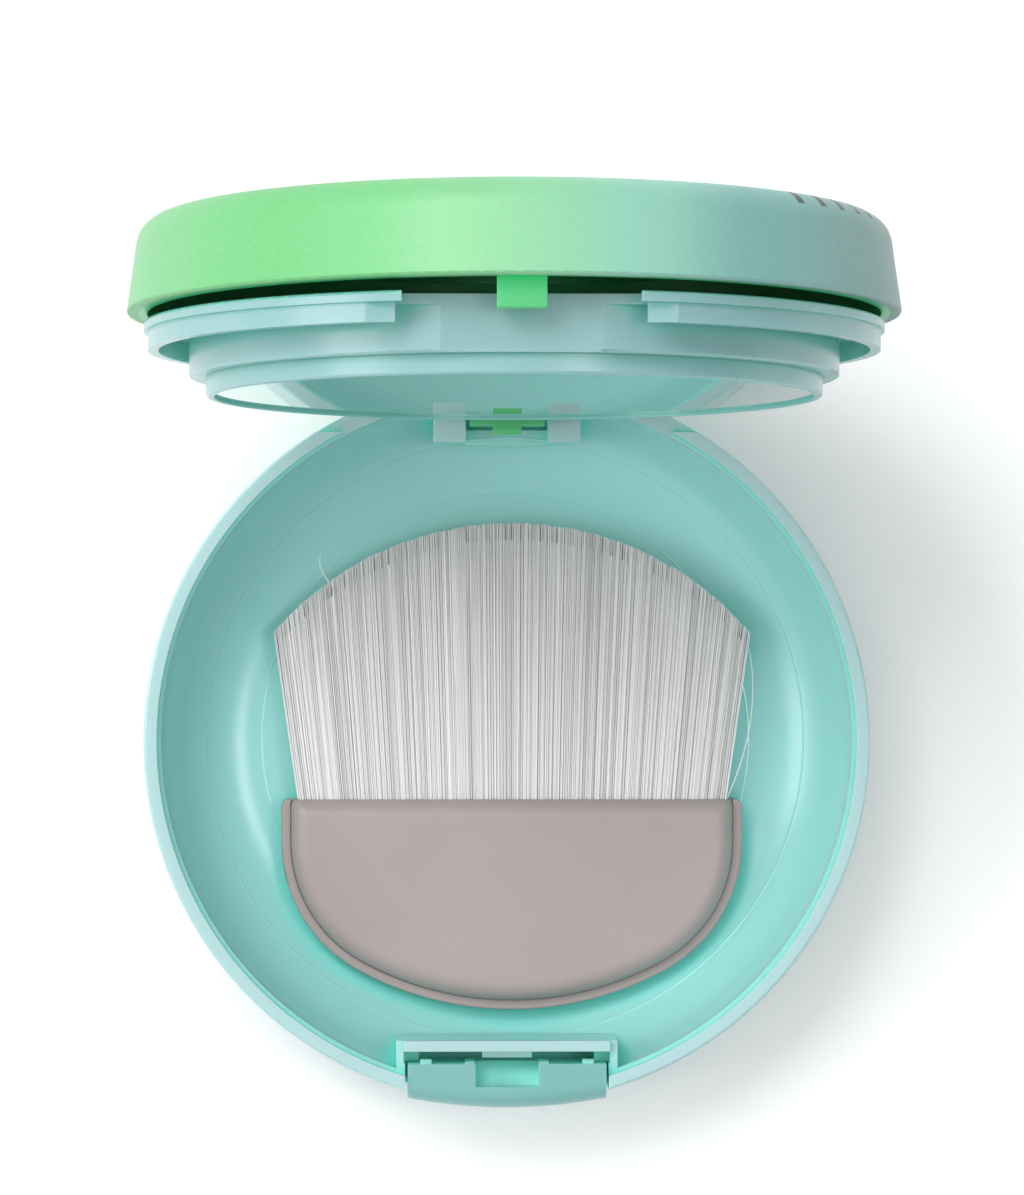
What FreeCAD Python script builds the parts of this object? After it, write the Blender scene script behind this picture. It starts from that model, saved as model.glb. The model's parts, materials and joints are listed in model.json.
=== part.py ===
import FreeCAD, Part
import os
import re

import Sketcher

# A round two-deck powder compact, modelled open. Millimetres. The origin is the middle of the flat underside,
# +Z is up and +Y points to the hinge. The tray and the lid are drawn shut, in the base's own frame, and each of
# their bodies is then turned about the hinge axis by its open angle.

SIZES = [
    # How far a cut runs past what it cuts, and how far a joined block reaches into its neighbour
    ("cut_over", 1.0),
    ("weld", 0.3),
    # A dome ends in a flat of this radius on the axis
    ("dome_flat", 0.5),
    # Base bowl
    ("base_radius", 38.0),
    ("base_height", 15.5),
    ("rim_width", 1.8),
    ("edge_round", 0.3),
    ("foot_round", 4.0),
    ("floor_top", 2.0),
    ("floor_inset", 12.0),
    ("wall_straight", 4.5),
    ("rebate_width", 0.4),
    ("rebate_depth", 1.3),
    ("step_inset", 5.7),
    ("step_depth", 1.3),
    ("label_radius", 14.0),
    ("label_thick", 0.15),
    # Hinge, one pin along X for both decks
    ("hinge_back", 0.2),
    ("hinge_drop", 2.3),
    ("pin_radius", 0.6),
    ("pin_play", 0.05),
    ("pin_half", 11.0),
    ("knuckle_radius", 2.0),
    ("lid_knuckle_half", 3.9),
    ("cheek_inner", 4.3),
    ("cheek_outer", 7.7),
    ("cheek_inset", 6.7),
    ("cheek_drop", 1.45),
    ("cheek_end", 1.0),
    ("cheek_root", 5.0),
    ("cheek_foot_thick", 1.4),
    ("cheek_foot_inset", 0.05),
    ("arm_inner", 8.0),
    ("arm_outer", 11.0),
    ("arm_root", 5.0),
    ("notch_half", 11.3),
    ("notch_depth", 5.0),
    ("pedestal_inset", 6.9),
    ("pedestal_end", 2.5),
    ("pedestal_thick", 4.0),
    ("pedestal_back", 5.3),
    ("pedestal_drop", 7.1),
    ("well_drop", 9.0),
    ("leaf_ahead", 2.8),
    ("leaf_thick", 1.2),
    ("leaf_top", 0.3),
    ("leaf_heel", 1.6),
    ("leaf_play", 0.3),
    ("leaf_notch_inset", 6.25),
    ("leaf_reach", 5.4),
    ("tab_reach", 6.3),
    ("tab_half", 1.5),
    ("tab_bevel", 0.4),
    ("tab_play", 0.3),
    ("tab_notch_inset", 6.95),
    ("neck_front", 1.9),
    ("neck_back", 0.15),
    ("neck_rise", 0.6),
    # Tray
    ("flange_gap", 1.65),
    ("flange_sink", 0.15),
    ("flange_thick", 1.0),
    ("flange_trim", 2.2),
    ("skirt_gap", 2.05),
    ("skirt_width", 1.05),
    ("skirt_depth", 3.0),
    ("skirt_open_half", 18.0),
    ("skirt_open_depth", 5.1),
    ("skirt_ring_gap", 1.5),
    ("skirt_rear_inset", 20.1),
    ("trim_inset", 14.1),
    ("cup_gap", 6.1),
    ("cup_wall", 1.6),
    ("cup_depth", 5.6),
    ("cup_floor", 1.0),
    ("cup_flat_inset", 7.0),
    ("front_gap_half", 11.1),
    ("tray_depth", 7.5),
    ("carrier_gap", 7.74),
    ("carrier_wall", 0.8),
    ("mirror_play", 0.05),
    ("mirror_sink", 0.3),
    ("mirror_thick", 1.0),
    ("tape_thick", 0.15),
    ("tape_margin", 2.0),
    ("pan_play", 0.15),
    ("pan_wall", 0.35),
    ("pan_sink", 0.6),
    ("powder_sink", 0.9),
    ("powder_dome", 0.5),
    ("glue_radius", 9.0),
    # Latch
    ("frame_half", 11.6),
    ("frame_front", 2.4),
    ("frame_drop", 1.45),
    ("frame_low", 3.3),
    ("bar_half", 10.8),
    ("bar_drop", 0.5),
    ("bar_front", 5.5),
    ("bar_back", 6.6),
    ("catch_half", 2.6),
    ("catch_front", 4.8),
    ("catch_drop", 1.7),
    ("catch_land", 0.1),
    ("latch_gap", 0.1),
    ("cavity_drop", 9.9),
    ("ledge_inner", 9.2),
    ("ledge_drop", 4.0),
    ("ledge_play", 0.3),
    ("button_half", 10.4),
    ("button_play", 0.25),
    ("button_back", 4.2),
    ("button_plate", 3.2),
    ("button_proud", 0.5),
    ("button_bulge", 1.0),
    ("button_drop", 0.3),
    ("button_low", 9.6),
    ("button_round", 0.5),
    ("button_roll", 2.1),
    ("guide_rib", 0.4),
    ("guide_long", 0.7),
    ("guide_set", 0.1),
    ("guide_high", 5.5),
    ("guide_low", 7.0),
    ("guide_play", 0.15),
    ("prong_inner", 7.9),
    ("prong_width", 1.2),
    ("prong_proud", 0.45),
    ("prong_high", 0.9),
    ("prong_low", 2.2),
    ("pocket_rib_gap", 0.1),
    ("pocket_rib_width", 1.0),
    ("pocket_rib_proud", 0.25),
    ("pocket_rib_low", 5.0),
    ("pocket_half", 3.3),
    ("pocket_front", 1.8),
    ("ramp_gap", 0.1),
    ("ramp_fall", 2.35),
    ("hook_half", 2.325),
    ("hook_front", 2.8),
    ("hook_back", 4.0),
    ("barb_back", 5.0),
    ("hook_hang", 2.75),
    ("hook_bevel", 0.15),
    # Lid
    ("lid_gap", 0.1),
    ("lid_wall", 1.1),
    ("liner_wall", 0.9),
    ("lid_taper", 0.9),
    ("lid_side", 7.0),
    ("lid_height", 9.5),
    ("lid_dome", 1.0),
    ("shoulder_in", 2.7),
    ("shoulder_radius", 2.9),
    ("rear_lip_play", 0.3),
    ("rear_lip_lift", 0.1),
    ("knuckle_slot_inset", 3.0),
    # Brush
    ("brush_x", 0.7),
    ("brush_gap", 0.6),
    ("brush_play", 0.15),
    ("mouth_ahead", 6.4),
    ("handle_side_inset", 13.5),
    ("handle_front_inset", 9.2),
    ("handle_corner", 15.5),
    ("handle_belly", 34.0),
    ("handle_bevel", 0.8),
    ("cap_inset", 1.0),
    ("cap_play", 0.05),
    ("cap_round", 1.9),
    ("lip_height", 0.5),
    ("lip_round", 0.225),
    ("mouth_round", 0.8),
    ("seam_part", 0.5),
    ("slot_low_part", 0.14),
    ("slot_top_part", 0.72),
    ("slot_margin", 1.7),
    ("slot_depth", 3.0),
    ("glue_depth", 0.8),
    ("tuft_play", 0.05),
    ("tuft_side_inset", 12.6),
    ("tuft_corner", 11.0),
    ("tuft_rise", 11.7),
    # Open angles of the two decks, in degrees from shut
    ("tray_open", 92.4),
    ("lid_open", 93.1),
]

NAMES = {name for name, _ in SIZES}
NEAR = 0.01
PLANES = {"xy": "XY_Plane", "xz": "XZ_Plane", "yz": "YZ_Plane"}

doc = FreeCAD.newDocument("PowderCompact")
sheet = doc.addObject("Spreadsheet::Sheet", "Sizes")
for row, (name, number) in enumerate(SIZES, start=1):
    sheet.set(f"A{row}", name)
    sheet.set(f"B{row}", str(number))
    sheet.setAlias(f"B{row}", name)
doc.recompute()


def bound(text):
    """An expression in plain size names, with each name pointed at its cell."""
    return re.sub(r"[a-z_]+", lambda word: f"Sizes.{word[0]}" if word[0] in NAMES else word[0], str(text))


def value(text):
    """The number that an expression has now."""
    return float(sheet.evalExpression(bound(text)))


# Heights and places that several pieces share
RIM = "base_height"
ABOVE = "(base_height + cut_over)"
WIDE = "(base_radius + 2 * cut_over)"
HINGE_Y = "(base_radius + hinge_back)"
HINGE_Z = "(base_height - hinge_drop)"
INNER = "(base_radius - rim_width)"
FLANGE_TOP = "(base_height - flange_sink)"
FLANGE_LOW = "(base_height - flange_sink - flange_thick)"
CUP_RADIUS = "(base_radius - cup_gap)"
CUP_LOW = "(base_height - cup_depth)"
CUP_TOP = "(base_height - cup_depth + cup_floor)"
CARRIER_RADIUS = "(base_radius - carrier_gap)"
CARRIER_LOW = "(base_height - tray_depth)"
TAPE_LOW = "(base_height - tray_depth + mirror_sink + mirror_thick)"
FLOOR_RADIUS = "(base_radius - floor_inset)"
WALL_LOW = "(base_height - wall_straight)"
BOWL_CURVE = f"((({INNER} - {FLOOR_RADIUS})^2 + ({WALL_LOW} - floor_top)^2) / (2 * ({WALL_LOW} - floor_top)))"
CAVITY_HALF = "(button_half + button_play)"
GUIDE_FRONT = "(button_plate - guide_long - guide_set)"
BRUSH_THICK = "(base_height - tray_depth - floor_top - brush_gap)"


def front(depth):
    """A place at the front of the base, given as a depth in from the base's outer radius."""
    return f"(0 - base_radius + {depth})"


def brush_level(part):
    """A height in the brush, as a part of its thickness above the bowl's floor."""
    return f"(floor_top + {part} * {BRUSH_THICK})"


def new_body(label):
    body = doc.addObject("PartDesign::Body", label)
    body.Label = label
    return body


def place_sketch(body, name, plane, start):
    """An empty sketch on one of the body's origin planes, moved along the plane's normal by start."""
    sketch = body.newObject("Sketcher::SketchObject", name)
    support = [item for item in body.Origin.OriginFeatures if item.Role == PLANES[plane]][0]
    sketch.AttachmentSupport = [(support, "")]
    sketch.MapMode = "FlatFace"
    sketch.setExpression("AttachmentOffset.Base.z", bound(start))
    return sketch


def fix_point(sketch, index, end, corner):
    """Bind one end of a sketch line or arc to its two expressions."""
    for kind, text in zip(("DistanceX", "DistanceY"), corner):
        number = sketch.addConstraint(Sketcher.Constraint(kind, -1, 1, index, end, value(text)))
        sketch.setExpression(f"Constraints[{number}]", bound(text))


def arc_between(start, end, radius):
    """The shorter arc from start to end; a positive radius turns left on the way, a negative one right."""
    chord = end - start
    side = FreeCAD.Vector(-chord.y, chord.x, 0).normalize() * (1 if radius > 0 else -1)
    rise = max(radius * radius - chord.Length ** 2 / 4, 0) ** 0.5
    centre = (start + end) / 2 + side * rise
    first, last = (start, end) if radius > 0 else (end, start)
    circle = Part.Circle(centre, FreeCAD.Vector(0, 0, 1), abs(radius))
    return Part.ArcOfCircle(circle, circle.parameter(first), circle.parameter(last))


def draw_loop(sketch, corners):
    """A closed outline. A corner is (across, up), or (across, up, radius) where an arc leads on from it."""
    points = [FreeCAD.Vector(value(corner[0]), value(corner[1]), 0) for corner in corners]
    ends = []
    for number, corner in enumerate(corners):
        start, end = points[number], points[(number + 1) % len(points)]
        if len(corner) == 2:
            index = sketch.addGeometry(Part.LineSegment(start, end))
            ends.append((index, 1, 2))
            continue
        radius = value(corner[2])
        index = sketch.addGeometry(arc_between(start, end, radius))
        ends.append((index, 1, 2) if radius > 0 else (index, 2, 1))
        size = sketch.addConstraint(Sketcher.Constraint("Radius", index, abs(radius)))
        sketch.setExpression(f"Constraints[{size}]", bound(f"abs({corner[2]})"))
    for number, corner in enumerate(corners):
        index, first, _ = ends[number]
        before, _, last = ends[number - 1]
        fix_point(sketch, index, first, corner[:2])
        sketch.addConstraint(Sketcher.Constraint("Coincident", before, last, index, first))


def draw_circle(sketch, across, up, radius):
    centre = FreeCAD.Vector(value(across), value(up), 0)
    circle = Part.Circle(centre, FreeCAD.Vector(0, 0, 1), value(radius))
    index = sketch.addGeometry(circle)
    fix_point(sketch, index, 3, (across, up))
    size = sketch.addConstraint(Sketcher.Constraint("Radius", index, value(radius)))
    sketch.setExpression(f"Constraints[{size}]", bound(radius))


def box_loop(left, right, low, high):
    return [(left, low), (right, low), (right, high), (left, high)]


def dome_line(foot, height, rise):
    """Half outline of a shallow dome from its foot up to the axis."""
    radius = f"((({foot})^2 + ({rise})^2) / (2 * ({rise})))"
    top = f"({height}) + ({rise}) + sqrt({radius}^2 - dome_flat^2) - {radius}"
    return [(foot, height, radius), ("dome_flat", top), (0, top)]


def spin(body, name, corners):
    """Turn an outline of radii and heights round the Z axis."""
    sketch = place_sketch(body, f"{name}_outline", "xz", 0)
    draw_loop(sketch, corners)
    turned = body.newObject("PartDesign::Revolution", name)
    turned.Profile = sketch
    turned.ReferenceAxis = (sketch, ["V_Axis"])
    turned.Angle = 360
    return turned


def slab(body, name, plane, loops, start, length, cut=False):
    """Pad or pocket outlines along the plane's normal, from start over length."""
    sketch = place_sketch(body, f"{name}_outline", plane, start)
    for loop in loops:
        if loop[0] == "circle":
            draw_circle(sketch, *loop[1:])
        else:
            draw_loop(sketch, loop)
    feature = body.newObject("PartDesign::Pocket" if cut else "PartDesign::Pad", name)
    feature.Profile = sketch
    feature.Length = value(length)
    feature.setExpression("Length", bound(length))
    feature.Reversed = cut
    return feature


def block(body, name, x_range, y_range, z_range, cut=False):
    """A box-shaped pad or pocket between two places on each axis."""
    loop = box_loop(*x_range, *y_range)
    return slab(body, name, "xy", [loop], z_range[0], f"({z_range[1]}) - ({z_range[0]})", cut)


def across(half):
    """The span from -half to +half."""
    return (f"0 - ({half})", half)


def both_sides(inner, outer):
    """The two mirrored spans from inner to outer on the right and on the left."""
    return [("right", (inner, outer)), ("left", (f"0 - ({outer})", f"0 - ({inner})"))]


def is_level(edge):
    """Whether an edge lies in one horizontal plane."""
    return edge.BoundBox.ZLength < NEAR


def round_edges(body, name, radius, wanted):
    """Fillet the edges of the body's last feature that pass the test."""
    doc.recompute()
    base = body.Tip
    chosen = [f"Edge{number}" for number, edge in enumerate(base.Shape.Edges, start=1) if wanted(edge)]
    fillet = body.newObject("PartDesign::Fillet", name)
    fillet.Base = (base, chosen)
    fillet.setExpression("Radius", bound(radius))
    return fillet


def bevel_edges(body, name, size, wanted):
    """Chamfer the edges of the body's last feature that pass the test."""
    doc.recompute()
    base = body.Tip
    chosen = [f"Edge{number}" for number, edge in enumerate(base.Shape.Edges, start=1) if wanted(edge)]
    chamfer = body.newObject("PartDesign::Chamfer", name)
    chamfer.Base = (base, chosen)
    chamfer.setExpression("Size", bound(size))
    return chamfer


def swing(body, angle):
    """Turn a finished body about the hinge axis, from shut to open."""
    body.Placement.Rotation.Axis = FreeCAD.Vector(-1, 0, 0)
    body.setExpression("Placement.Rotation.Angle", bound(angle))
    body.setExpression("Placement.Base.y", bound(f"{HINGE_Y} * (1 - cos({angle})) - {HINGE_Z} * sin({angle})"))
    body.setExpression("Placement.Base.z", bound(f"{HINGE_Z} * (1 - cos({angle})) + {HINGE_Y} * sin({angle})"))


# ---------------------------------------------------------------- base

def make_base_shell():
    """Bowl with a flat floor, a rebated rim, the hinge cheeks at the back and the latch frame at the front."""
    body = new_body("base_shell")
    rebate = f"({INNER} + rebate_width)"
    spin(body, "bowl", [
        (0, "label_thick"), ("label_radius", "label_thick"), ("label_radius", 0),
        ("base_radius - foot_round", 0, "foot_round"),
        ("base_radius", "foot_round"), ("base_radius", f"{RIM} - edge_round", "edge_round"),
        ("base_radius - edge_round", RIM), (rebate, RIM), (rebate, f"{RIM} - rebate_depth"),
        (INNER, f"{RIM} - rebate_depth"),
        (INNER, WALL_LOW, f"0 - {BOWL_CURVE}"), (FLOOR_RADIUS, "floor_top"), (0, "floor_top"),
    ])
    add_latch_frame(body)
    add_hinge_seat(body)
    return body


def add_latch_frame(body):
    """Frame round the button: crossbar with the catch, side walls, corner ledges and guide grooves."""
    block(body, "frame", across("frame_half"), (front("frame_front"), front("bar_back")),
          ("frame_low", f"{RIM} - frame_drop"))
    block(body, "bar_top", across("bar_half"), (front("bar_front"), front("bar_back")),
          (f"{RIM} - frame_drop", f"{RIM} - bar_drop"))
    cavity_low = f"{RIM} - cavity_drop"
    block(body, "button_window", across(CAVITY_HALF), (front("0 - 2 * cut_over"), front("button_back")),
          (cavity_low, ABOVE), cut=True)
    block(body, "hook_well", across("ledge_inner"), (front("button_back"), front("bar_front")),
          (cavity_low, ABOVE), cut=True)
    block(body, "ledge_room", across("bar_half"), (front("button_back"), front("bar_front")),
          (f"{RIM} - ledge_drop", ABOVE), cut=True)
    for side, span in both_sides(CAVITY_HALF, "button_half + guide_rib + guide_play"):
        block(body, f"guide_{side}", span, (front(f"{GUIDE_FRONT} - guide_play"), front("button_back")),
              (f"{RIM} - guide_low - guide_play", f"{RIM} - guide_high + guide_play"), cut=True)
    catch_low = f"{RIM} - catch_drop"
    catch_back = front("bar_front + weld")
    catch_slope_top = f"{catch_low} + catch_land + bar_front - catch_front"
    catch = [(catch_back, catch_low), (catch_back, catch_slope_top), (front("bar_front"), catch_slope_top),
             (front("catch_front"), f"{catch_low} + catch_land"), (front("catch_front"), catch_low)]
    slab(body, "catch", "yz", [catch], "0 - catch_half", "2 * catch_half")


def add_hinge_seat(body):
    """Back of the rim: lowered step, notch for the knuckles, two pin cheeks and the well for the lid's leaf."""
    block(body, "rim_step", across(WIDE), ("base_radius - step_inset", WIDE),
          (f"{RIM} - step_depth", ABOVE), cut=True)
    block(body, "knuckle_notch", across("notch_half"), ("base_radius - cheek_inset", WIDE),
          (f"{RIM} - notch_depth", ABOVE), cut=True)
    cheek_top = f"{RIM} - cheek_drop"
    cheek_low = f"{RIM} - notch_depth - cheek_root"
    cheek = box_loop("base_radius - cheek_inset", "base_radius - cheek_end", cheek_low, cheek_top)
    for side, span in both_sides("cheek_inner", "cheek_outer"):
        width = "cheek_outer - cheek_inner"
        slab(body, f"cheek_{side}", "yz", [cheek], span[0], width)
        slab(body, f"cheek_eye_{side}", "yz", [("circle", HINGE_Y, HINGE_Z, "knuckle_radius")], span[0], width)
        foot = box_loop("base_radius - cheek_foot_thick", "base_radius - cheek_foot_inset",
                        f"{RIM} - notch_depth - cut_over", HINGE_Z)
        slab(body, f"cheek_foot_{side}", "yz", [foot], span[0], width)
    block(body, "pedestal", across("cheek_inner"), ("base_radius - pedestal_inset", "base_radius - pedestal_end"),
          (f"{RIM} - pedestal_drop - pedestal_thick", f"{RIM} - pedestal_drop"))
    block(body, "leaf_well", across("cheek_inner"),
          ("base_radius - pedestal_back", f"{HINGE_Y} - leaf_ahead + leaf_thick + leaf_play"),
          (f"{RIM} - well_drop", ABOVE), cut=True)
    slab(body, "pin_bore", "yz", [("circle", HINGE_Y, HINGE_Z, "pin_radius")], "0 - cheek_outer - cut_over",
         "2 * (cheek_outer + cut_over)", cut=True)


def make_hinge_pin():
    """Steel pin through all the knuckles, tight in the base's cheeks."""
    body = new_body("hinge_pin")
    slab(body, "shaft", "yz", [("circle", HINGE_Y, HINGE_Z, "pin_radius")], "0 - pin_half", "2 * pin_half")
    return body


def make_bottom_label():
    """Blank round label, let in flush with the underside."""
    body = new_body("bottom_label")
    slab(body, "disc", "xy", [("circle", 0, 0, "label_radius")], 0, "label_thick")
    return body


# ---------------------------------------------------------------- latch button

def make_latch_button():
    """Push button in the front window: curved face plate, rear block with a ramped pocket, prongs and guide ribs."""
    body = new_body("latch_button")
    top = f"{RIM} - button_drop"
    low = f"{RIM} - button_low"
    plate_back = front("button_plate")
    face_edge = f"{front('0 - button_proud')} + button_bulge"
    face_radius = "(button_half^2 + button_bulge^2) / (2 * button_bulge)"
    plate = [("0 - button_half", plate_back), ("0 - button_half", face_edge, face_radius),
             ("button_half", face_edge), ("button_half", plate_back)]
    slab(body, "face_plate", "xy", [plate], low, f"{top} - ({low})")

    def in_face(edge):
        return is_level(edge) and edge.BoundBox.YMax < value(face_edge) + NEAR

    round_edges(body, "face_roll", "button_roll",
                lambda edge: in_face(edge) and edge.BoundBox.ZMin > value(top) - NEAR)
    round_edges(body, "face_foot", "button_round",
                lambda edge: in_face(edge) and edge.BoundBox.ZMax < value(low) + NEAR)
    block(body, "upper_block", across("button_half"), (plate_back, front("button_back")),
          (f"{RIM} - ledge_drop + ledge_play", top))
    block(body, "lower_block", across("ledge_inner - button_play"), (plate_back, front("button_back")),
          (low, f"{RIM} - ledge_drop + ledge_play"))
    for side, span in both_sides("pocket_half + pocket_rib_gap", "pocket_half + pocket_rib_gap + pocket_rib_width"):
        block(body, f"pocket_rib_{side}", span, (front("button_back"), front("button_back + pocket_rib_proud")),
              (f"{RIM} - pocket_rib_low", top))
    for side, span in both_sides("prong_inner", "prong_inner + prong_width"):
        block(body, f"prong_{side}", span, (front("button_back"), front("button_back + prong_proud")),
              (f"{RIM} - prong_low", f"{RIM} - prong_high"))
    for side, span in both_sides("button_half", "button_half + guide_rib"):
        block(body, f"guide_rib_{side}", span, (front(GUIDE_FRONT), front(f"{GUIDE_FRONT} + guide_long")),
              (f"{RIM} - guide_low", f"{RIM} - guide_high"))
    pocket = [(front("button_back"), ABOVE), (front("pocket_front"), ABOVE),
              (front("pocket_front"), f"{RIM} - hook_hang + ramp_gap"),
              (front("button_back"), f"{RIM} - hook_hang - ramp_fall")]
    slab(body, "ramp_pocket", "yz", [pocket], "0 - pocket_half", "2 * pocket_half", cut=True)
    return body


# ---------------------------------------------------------------- tray

def make_tray_shell():
    """Middle deck: flange, skirt and powder cup in one moulding, with two arms round the hinge pin."""
    body = new_body("tray_shell")
    cup_inner = f"({CUP_RADIUS} - cup_wall)"
    flange = "(base_radius - flange_gap)"
    skirt = "(base_radius - skirt_gap)"
    skirt_low = f"{RIM} - skirt_depth"
    spin(body, "deck", [
        (0, CUP_LOW), (f"{CUP_RADIUS} - edge_round", CUP_LOW, "edge_round"),
        (CUP_RADIUS, f"{CUP_LOW} + edge_round"), (CUP_RADIUS, FLANGE_LOW),
        (f"{skirt} - skirt_width", FLANGE_LOW), (f"{skirt} - skirt_width", skirt_low), (skirt, skirt_low),
        (skirt, FLANGE_LOW), (flange, FLANGE_LOW), (flange, f"{FLANGE_TOP} - edge_round", "edge_round"),
        (f"{flange} - edge_round", FLANGE_TOP), (cup_inner, FLANGE_TOP), (cup_inner, CUP_TOP), (0, CUP_TOP),
    ])
    below = f"{RIM} - tray_depth"
    block(body, "front_gap", across("front_gap_half"), (front("0 - 2 * cut_over"), front("cup_flat_inset")),
          (below, ABOVE), cut=True)
    block(body, "front_skirt_gap", across("skirt_open_half"), (front("0 - 2 * cut_over"), front("skirt_open_depth")),
          (below, FLANGE_LOW), cut=True)
    block(body, "rear_flat", across(WIDE), ("base_radius - cup_flat_inset", WIDE),
          (below, FLANGE_LOW), cut=True)
    rear_line = "(base_radius - skirt_rear_inset)"
    ring_inner = f"({CUP_RADIUS} + skirt_ring_gap)"
    inner_x = f"sqrt({ring_inner}^2 - ({rear_line})^2)"
    outer_x = f"sqrt({WIDE}^2 - ({rear_line})^2)"
    skirt_cut = [(inner_x, rear_line), (outer_x, rear_line, WIDE), (f"0 - {outer_x}", rear_line),
                 (f"0 - {inner_x}", rear_line, f"0 - {ring_inner}")]
    slab(body, "rear_skirt_gap", "xy", [skirt_cut], below, f"{FLANGE_LOW} - ({below})", cut=True)
    trim_line = "(base_radius - trim_inset)"
    trim = "(base_radius - flange_trim)"
    trim_x = f"sqrt({trim}^2 - ({trim_line})^2)"
    edge_x = f"sqrt({WIDE}^2 - ({trim_line})^2)"
    trim_cut = [(trim_x, trim_line), (edge_x, trim_line, WIDE), (f"0 - {edge_x}", trim_line),
                (f"0 - {trim_x}", trim_line, f"0 - {trim}")]
    slab(body, "rear_flange_trim", "xy", [trim_cut], below, f"{ABOVE} - ({below})", cut=True)
    block(body, "leaf_notch", across("cheek_inner"), ("base_radius - leaf_notch_inset", WIDE),
          (below, ABOVE), cut=True)
    block(body, "tab_notch", across("tab_half + tab_play"), ("base_radius - tab_notch_inset", WIDE),
          (below, ABOVE), cut=True)
    arm = [("base_radius - arm_root", FLANGE_TOP), ("base_radius - arm_root", FLANGE_LOW),
           (f"{HINGE_Y} - 0.7 * knuckle_radius", f"{HINGE_Z} - 0.7 * knuckle_radius"), (HINGE_Y, HINGE_Z),
           (HINGE_Y, f"{HINGE_Z} + knuckle_radius"), (f"{HINGE_Y} - 0.8 * knuckle_radius", FLANGE_TOP)]
    for side, span in both_sides("arm_inner", "arm_outer"):
        width = "arm_outer - arm_inner"
        slab(body, f"arm_{side}", "yz", [arm], span[0], width)
        slab(body, f"arm_eye_{side}", "yz", [("circle", HINGE_Y, HINGE_Z, "knuckle_radius")], span[0], width)
    slab(body, "pin_bore", "yz", [("circle", HINGE_Y, HINGE_Z, "pin_radius + pin_play")], "0 - arm_outer - cut_over",
         "2 * (arm_outer + cut_over)", cut=True)
    return body


def make_powder_pan():
    """Thin metal pan, glued into the tray's cup."""
    body = new_body("powder_pan")
    outer = f"({CUP_RADIUS} - cup_wall - pan_play)"
    low = f"({CUP_TOP} + tape_thick)"
    top = f"({RIM} - pan_sink)"
    spin(body, "pan", [(0, low), (outer, low), (outer, top), (f"{outer} - pan_wall", top),
                       (f"{outer} - pan_wall", f"{low} + pan_wall"), (0, f"{low} + pan_wall")])
    return body


def make_pan_glue():
    """Round pad of glue under the pan."""
    body = new_body("pan_glue")
    slab(body, "pad", "xy", [("circle", 0, 0, "glue_radius")], CUP_TOP, "tape_thick")
    return body


def make_pressed_powder():
    """Cake of pressed powder that fills the pan, slightly domed."""
    body = new_body("pressed_powder")
    radius = f"({CUP_RADIUS} - cup_wall - pan_play - pan_wall)"
    low = f"({CUP_TOP} + tape_thick + pan_wall)"
    edge = f"({RIM} - powder_sink)"
    spin(body, "cake", [(0, low), (radius, low), *dome_line(radius, edge, "powder_dome")])
    return body


def make_mirror_frame():
    """Shallow dish under the cup whose wall stands round the mirror."""
    body = new_body("mirror_frame")
    seat = f"({TAPE_LOW} + tape_thick)"
    wall_inner = f"({CARRIER_RADIUS} - carrier_wall)"
    spin(body, "dish", [(0, seat), (wall_inner, seat), (wall_inner, CARRIER_LOW),
                        (f"{CARRIER_RADIUS} - edge_round", CARRIER_LOW, "edge_round"),
                        (CARRIER_RADIUS, f"{CARRIER_LOW} + edge_round"), (CARRIER_RADIUS, CUP_LOW), (0, CUP_LOW)])
    return body


def make_mirror():
    """Round glass mirror in the dish."""
    body = new_body("mirror")
    radius = f"({CARRIER_RADIUS} - carrier_wall - mirror_play)"
    slab(body, "glass", "xy", [("circle", 0, 0, radius)], f"{CARRIER_LOW} + mirror_sink", "mirror_thick")
    return body


def make_mirror_tape():
    """Double-sided tape between the mirror and its dish."""
    body = new_body("mirror_tape")
    radius = f"({CARRIER_RADIUS} - carrier_wall - tape_margin)"
    slab(body, "disc", "xy", [("circle", 0, 0, radius)], TAPE_LOW, "tape_thick")
    return body


# ---------------------------------------------------------------- lid

def lid_line(inset, low):
    """Half outline of the lid from the rim up to the axis, set in from the outer skin by inset."""
    dome_from = "(base_radius - lid_taper - shoulder_in)"
    return [(f"base_radius - ({inset})", low),
            (f"base_radius - lid_taper - ({inset})", f"{RIM} + lid_side", f"shoulder_radius - ({inset})"),
            *dome_line(dome_from, f"{RIM} + lid_height - ({inset})", "lid_dome")]


def backwards(line):
    """The same outline walked the other way, so its arcs turn the other way too."""
    flipped = []
    for number in range(len(line) - 1, -1, -1):
        corner = line[number][:2]
        arc = line[number - 1][2:] if number > 0 else ()
        flipped.append(corner + tuple(f"0 - ({radius})" for radius in arc))
    return flipped


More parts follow.
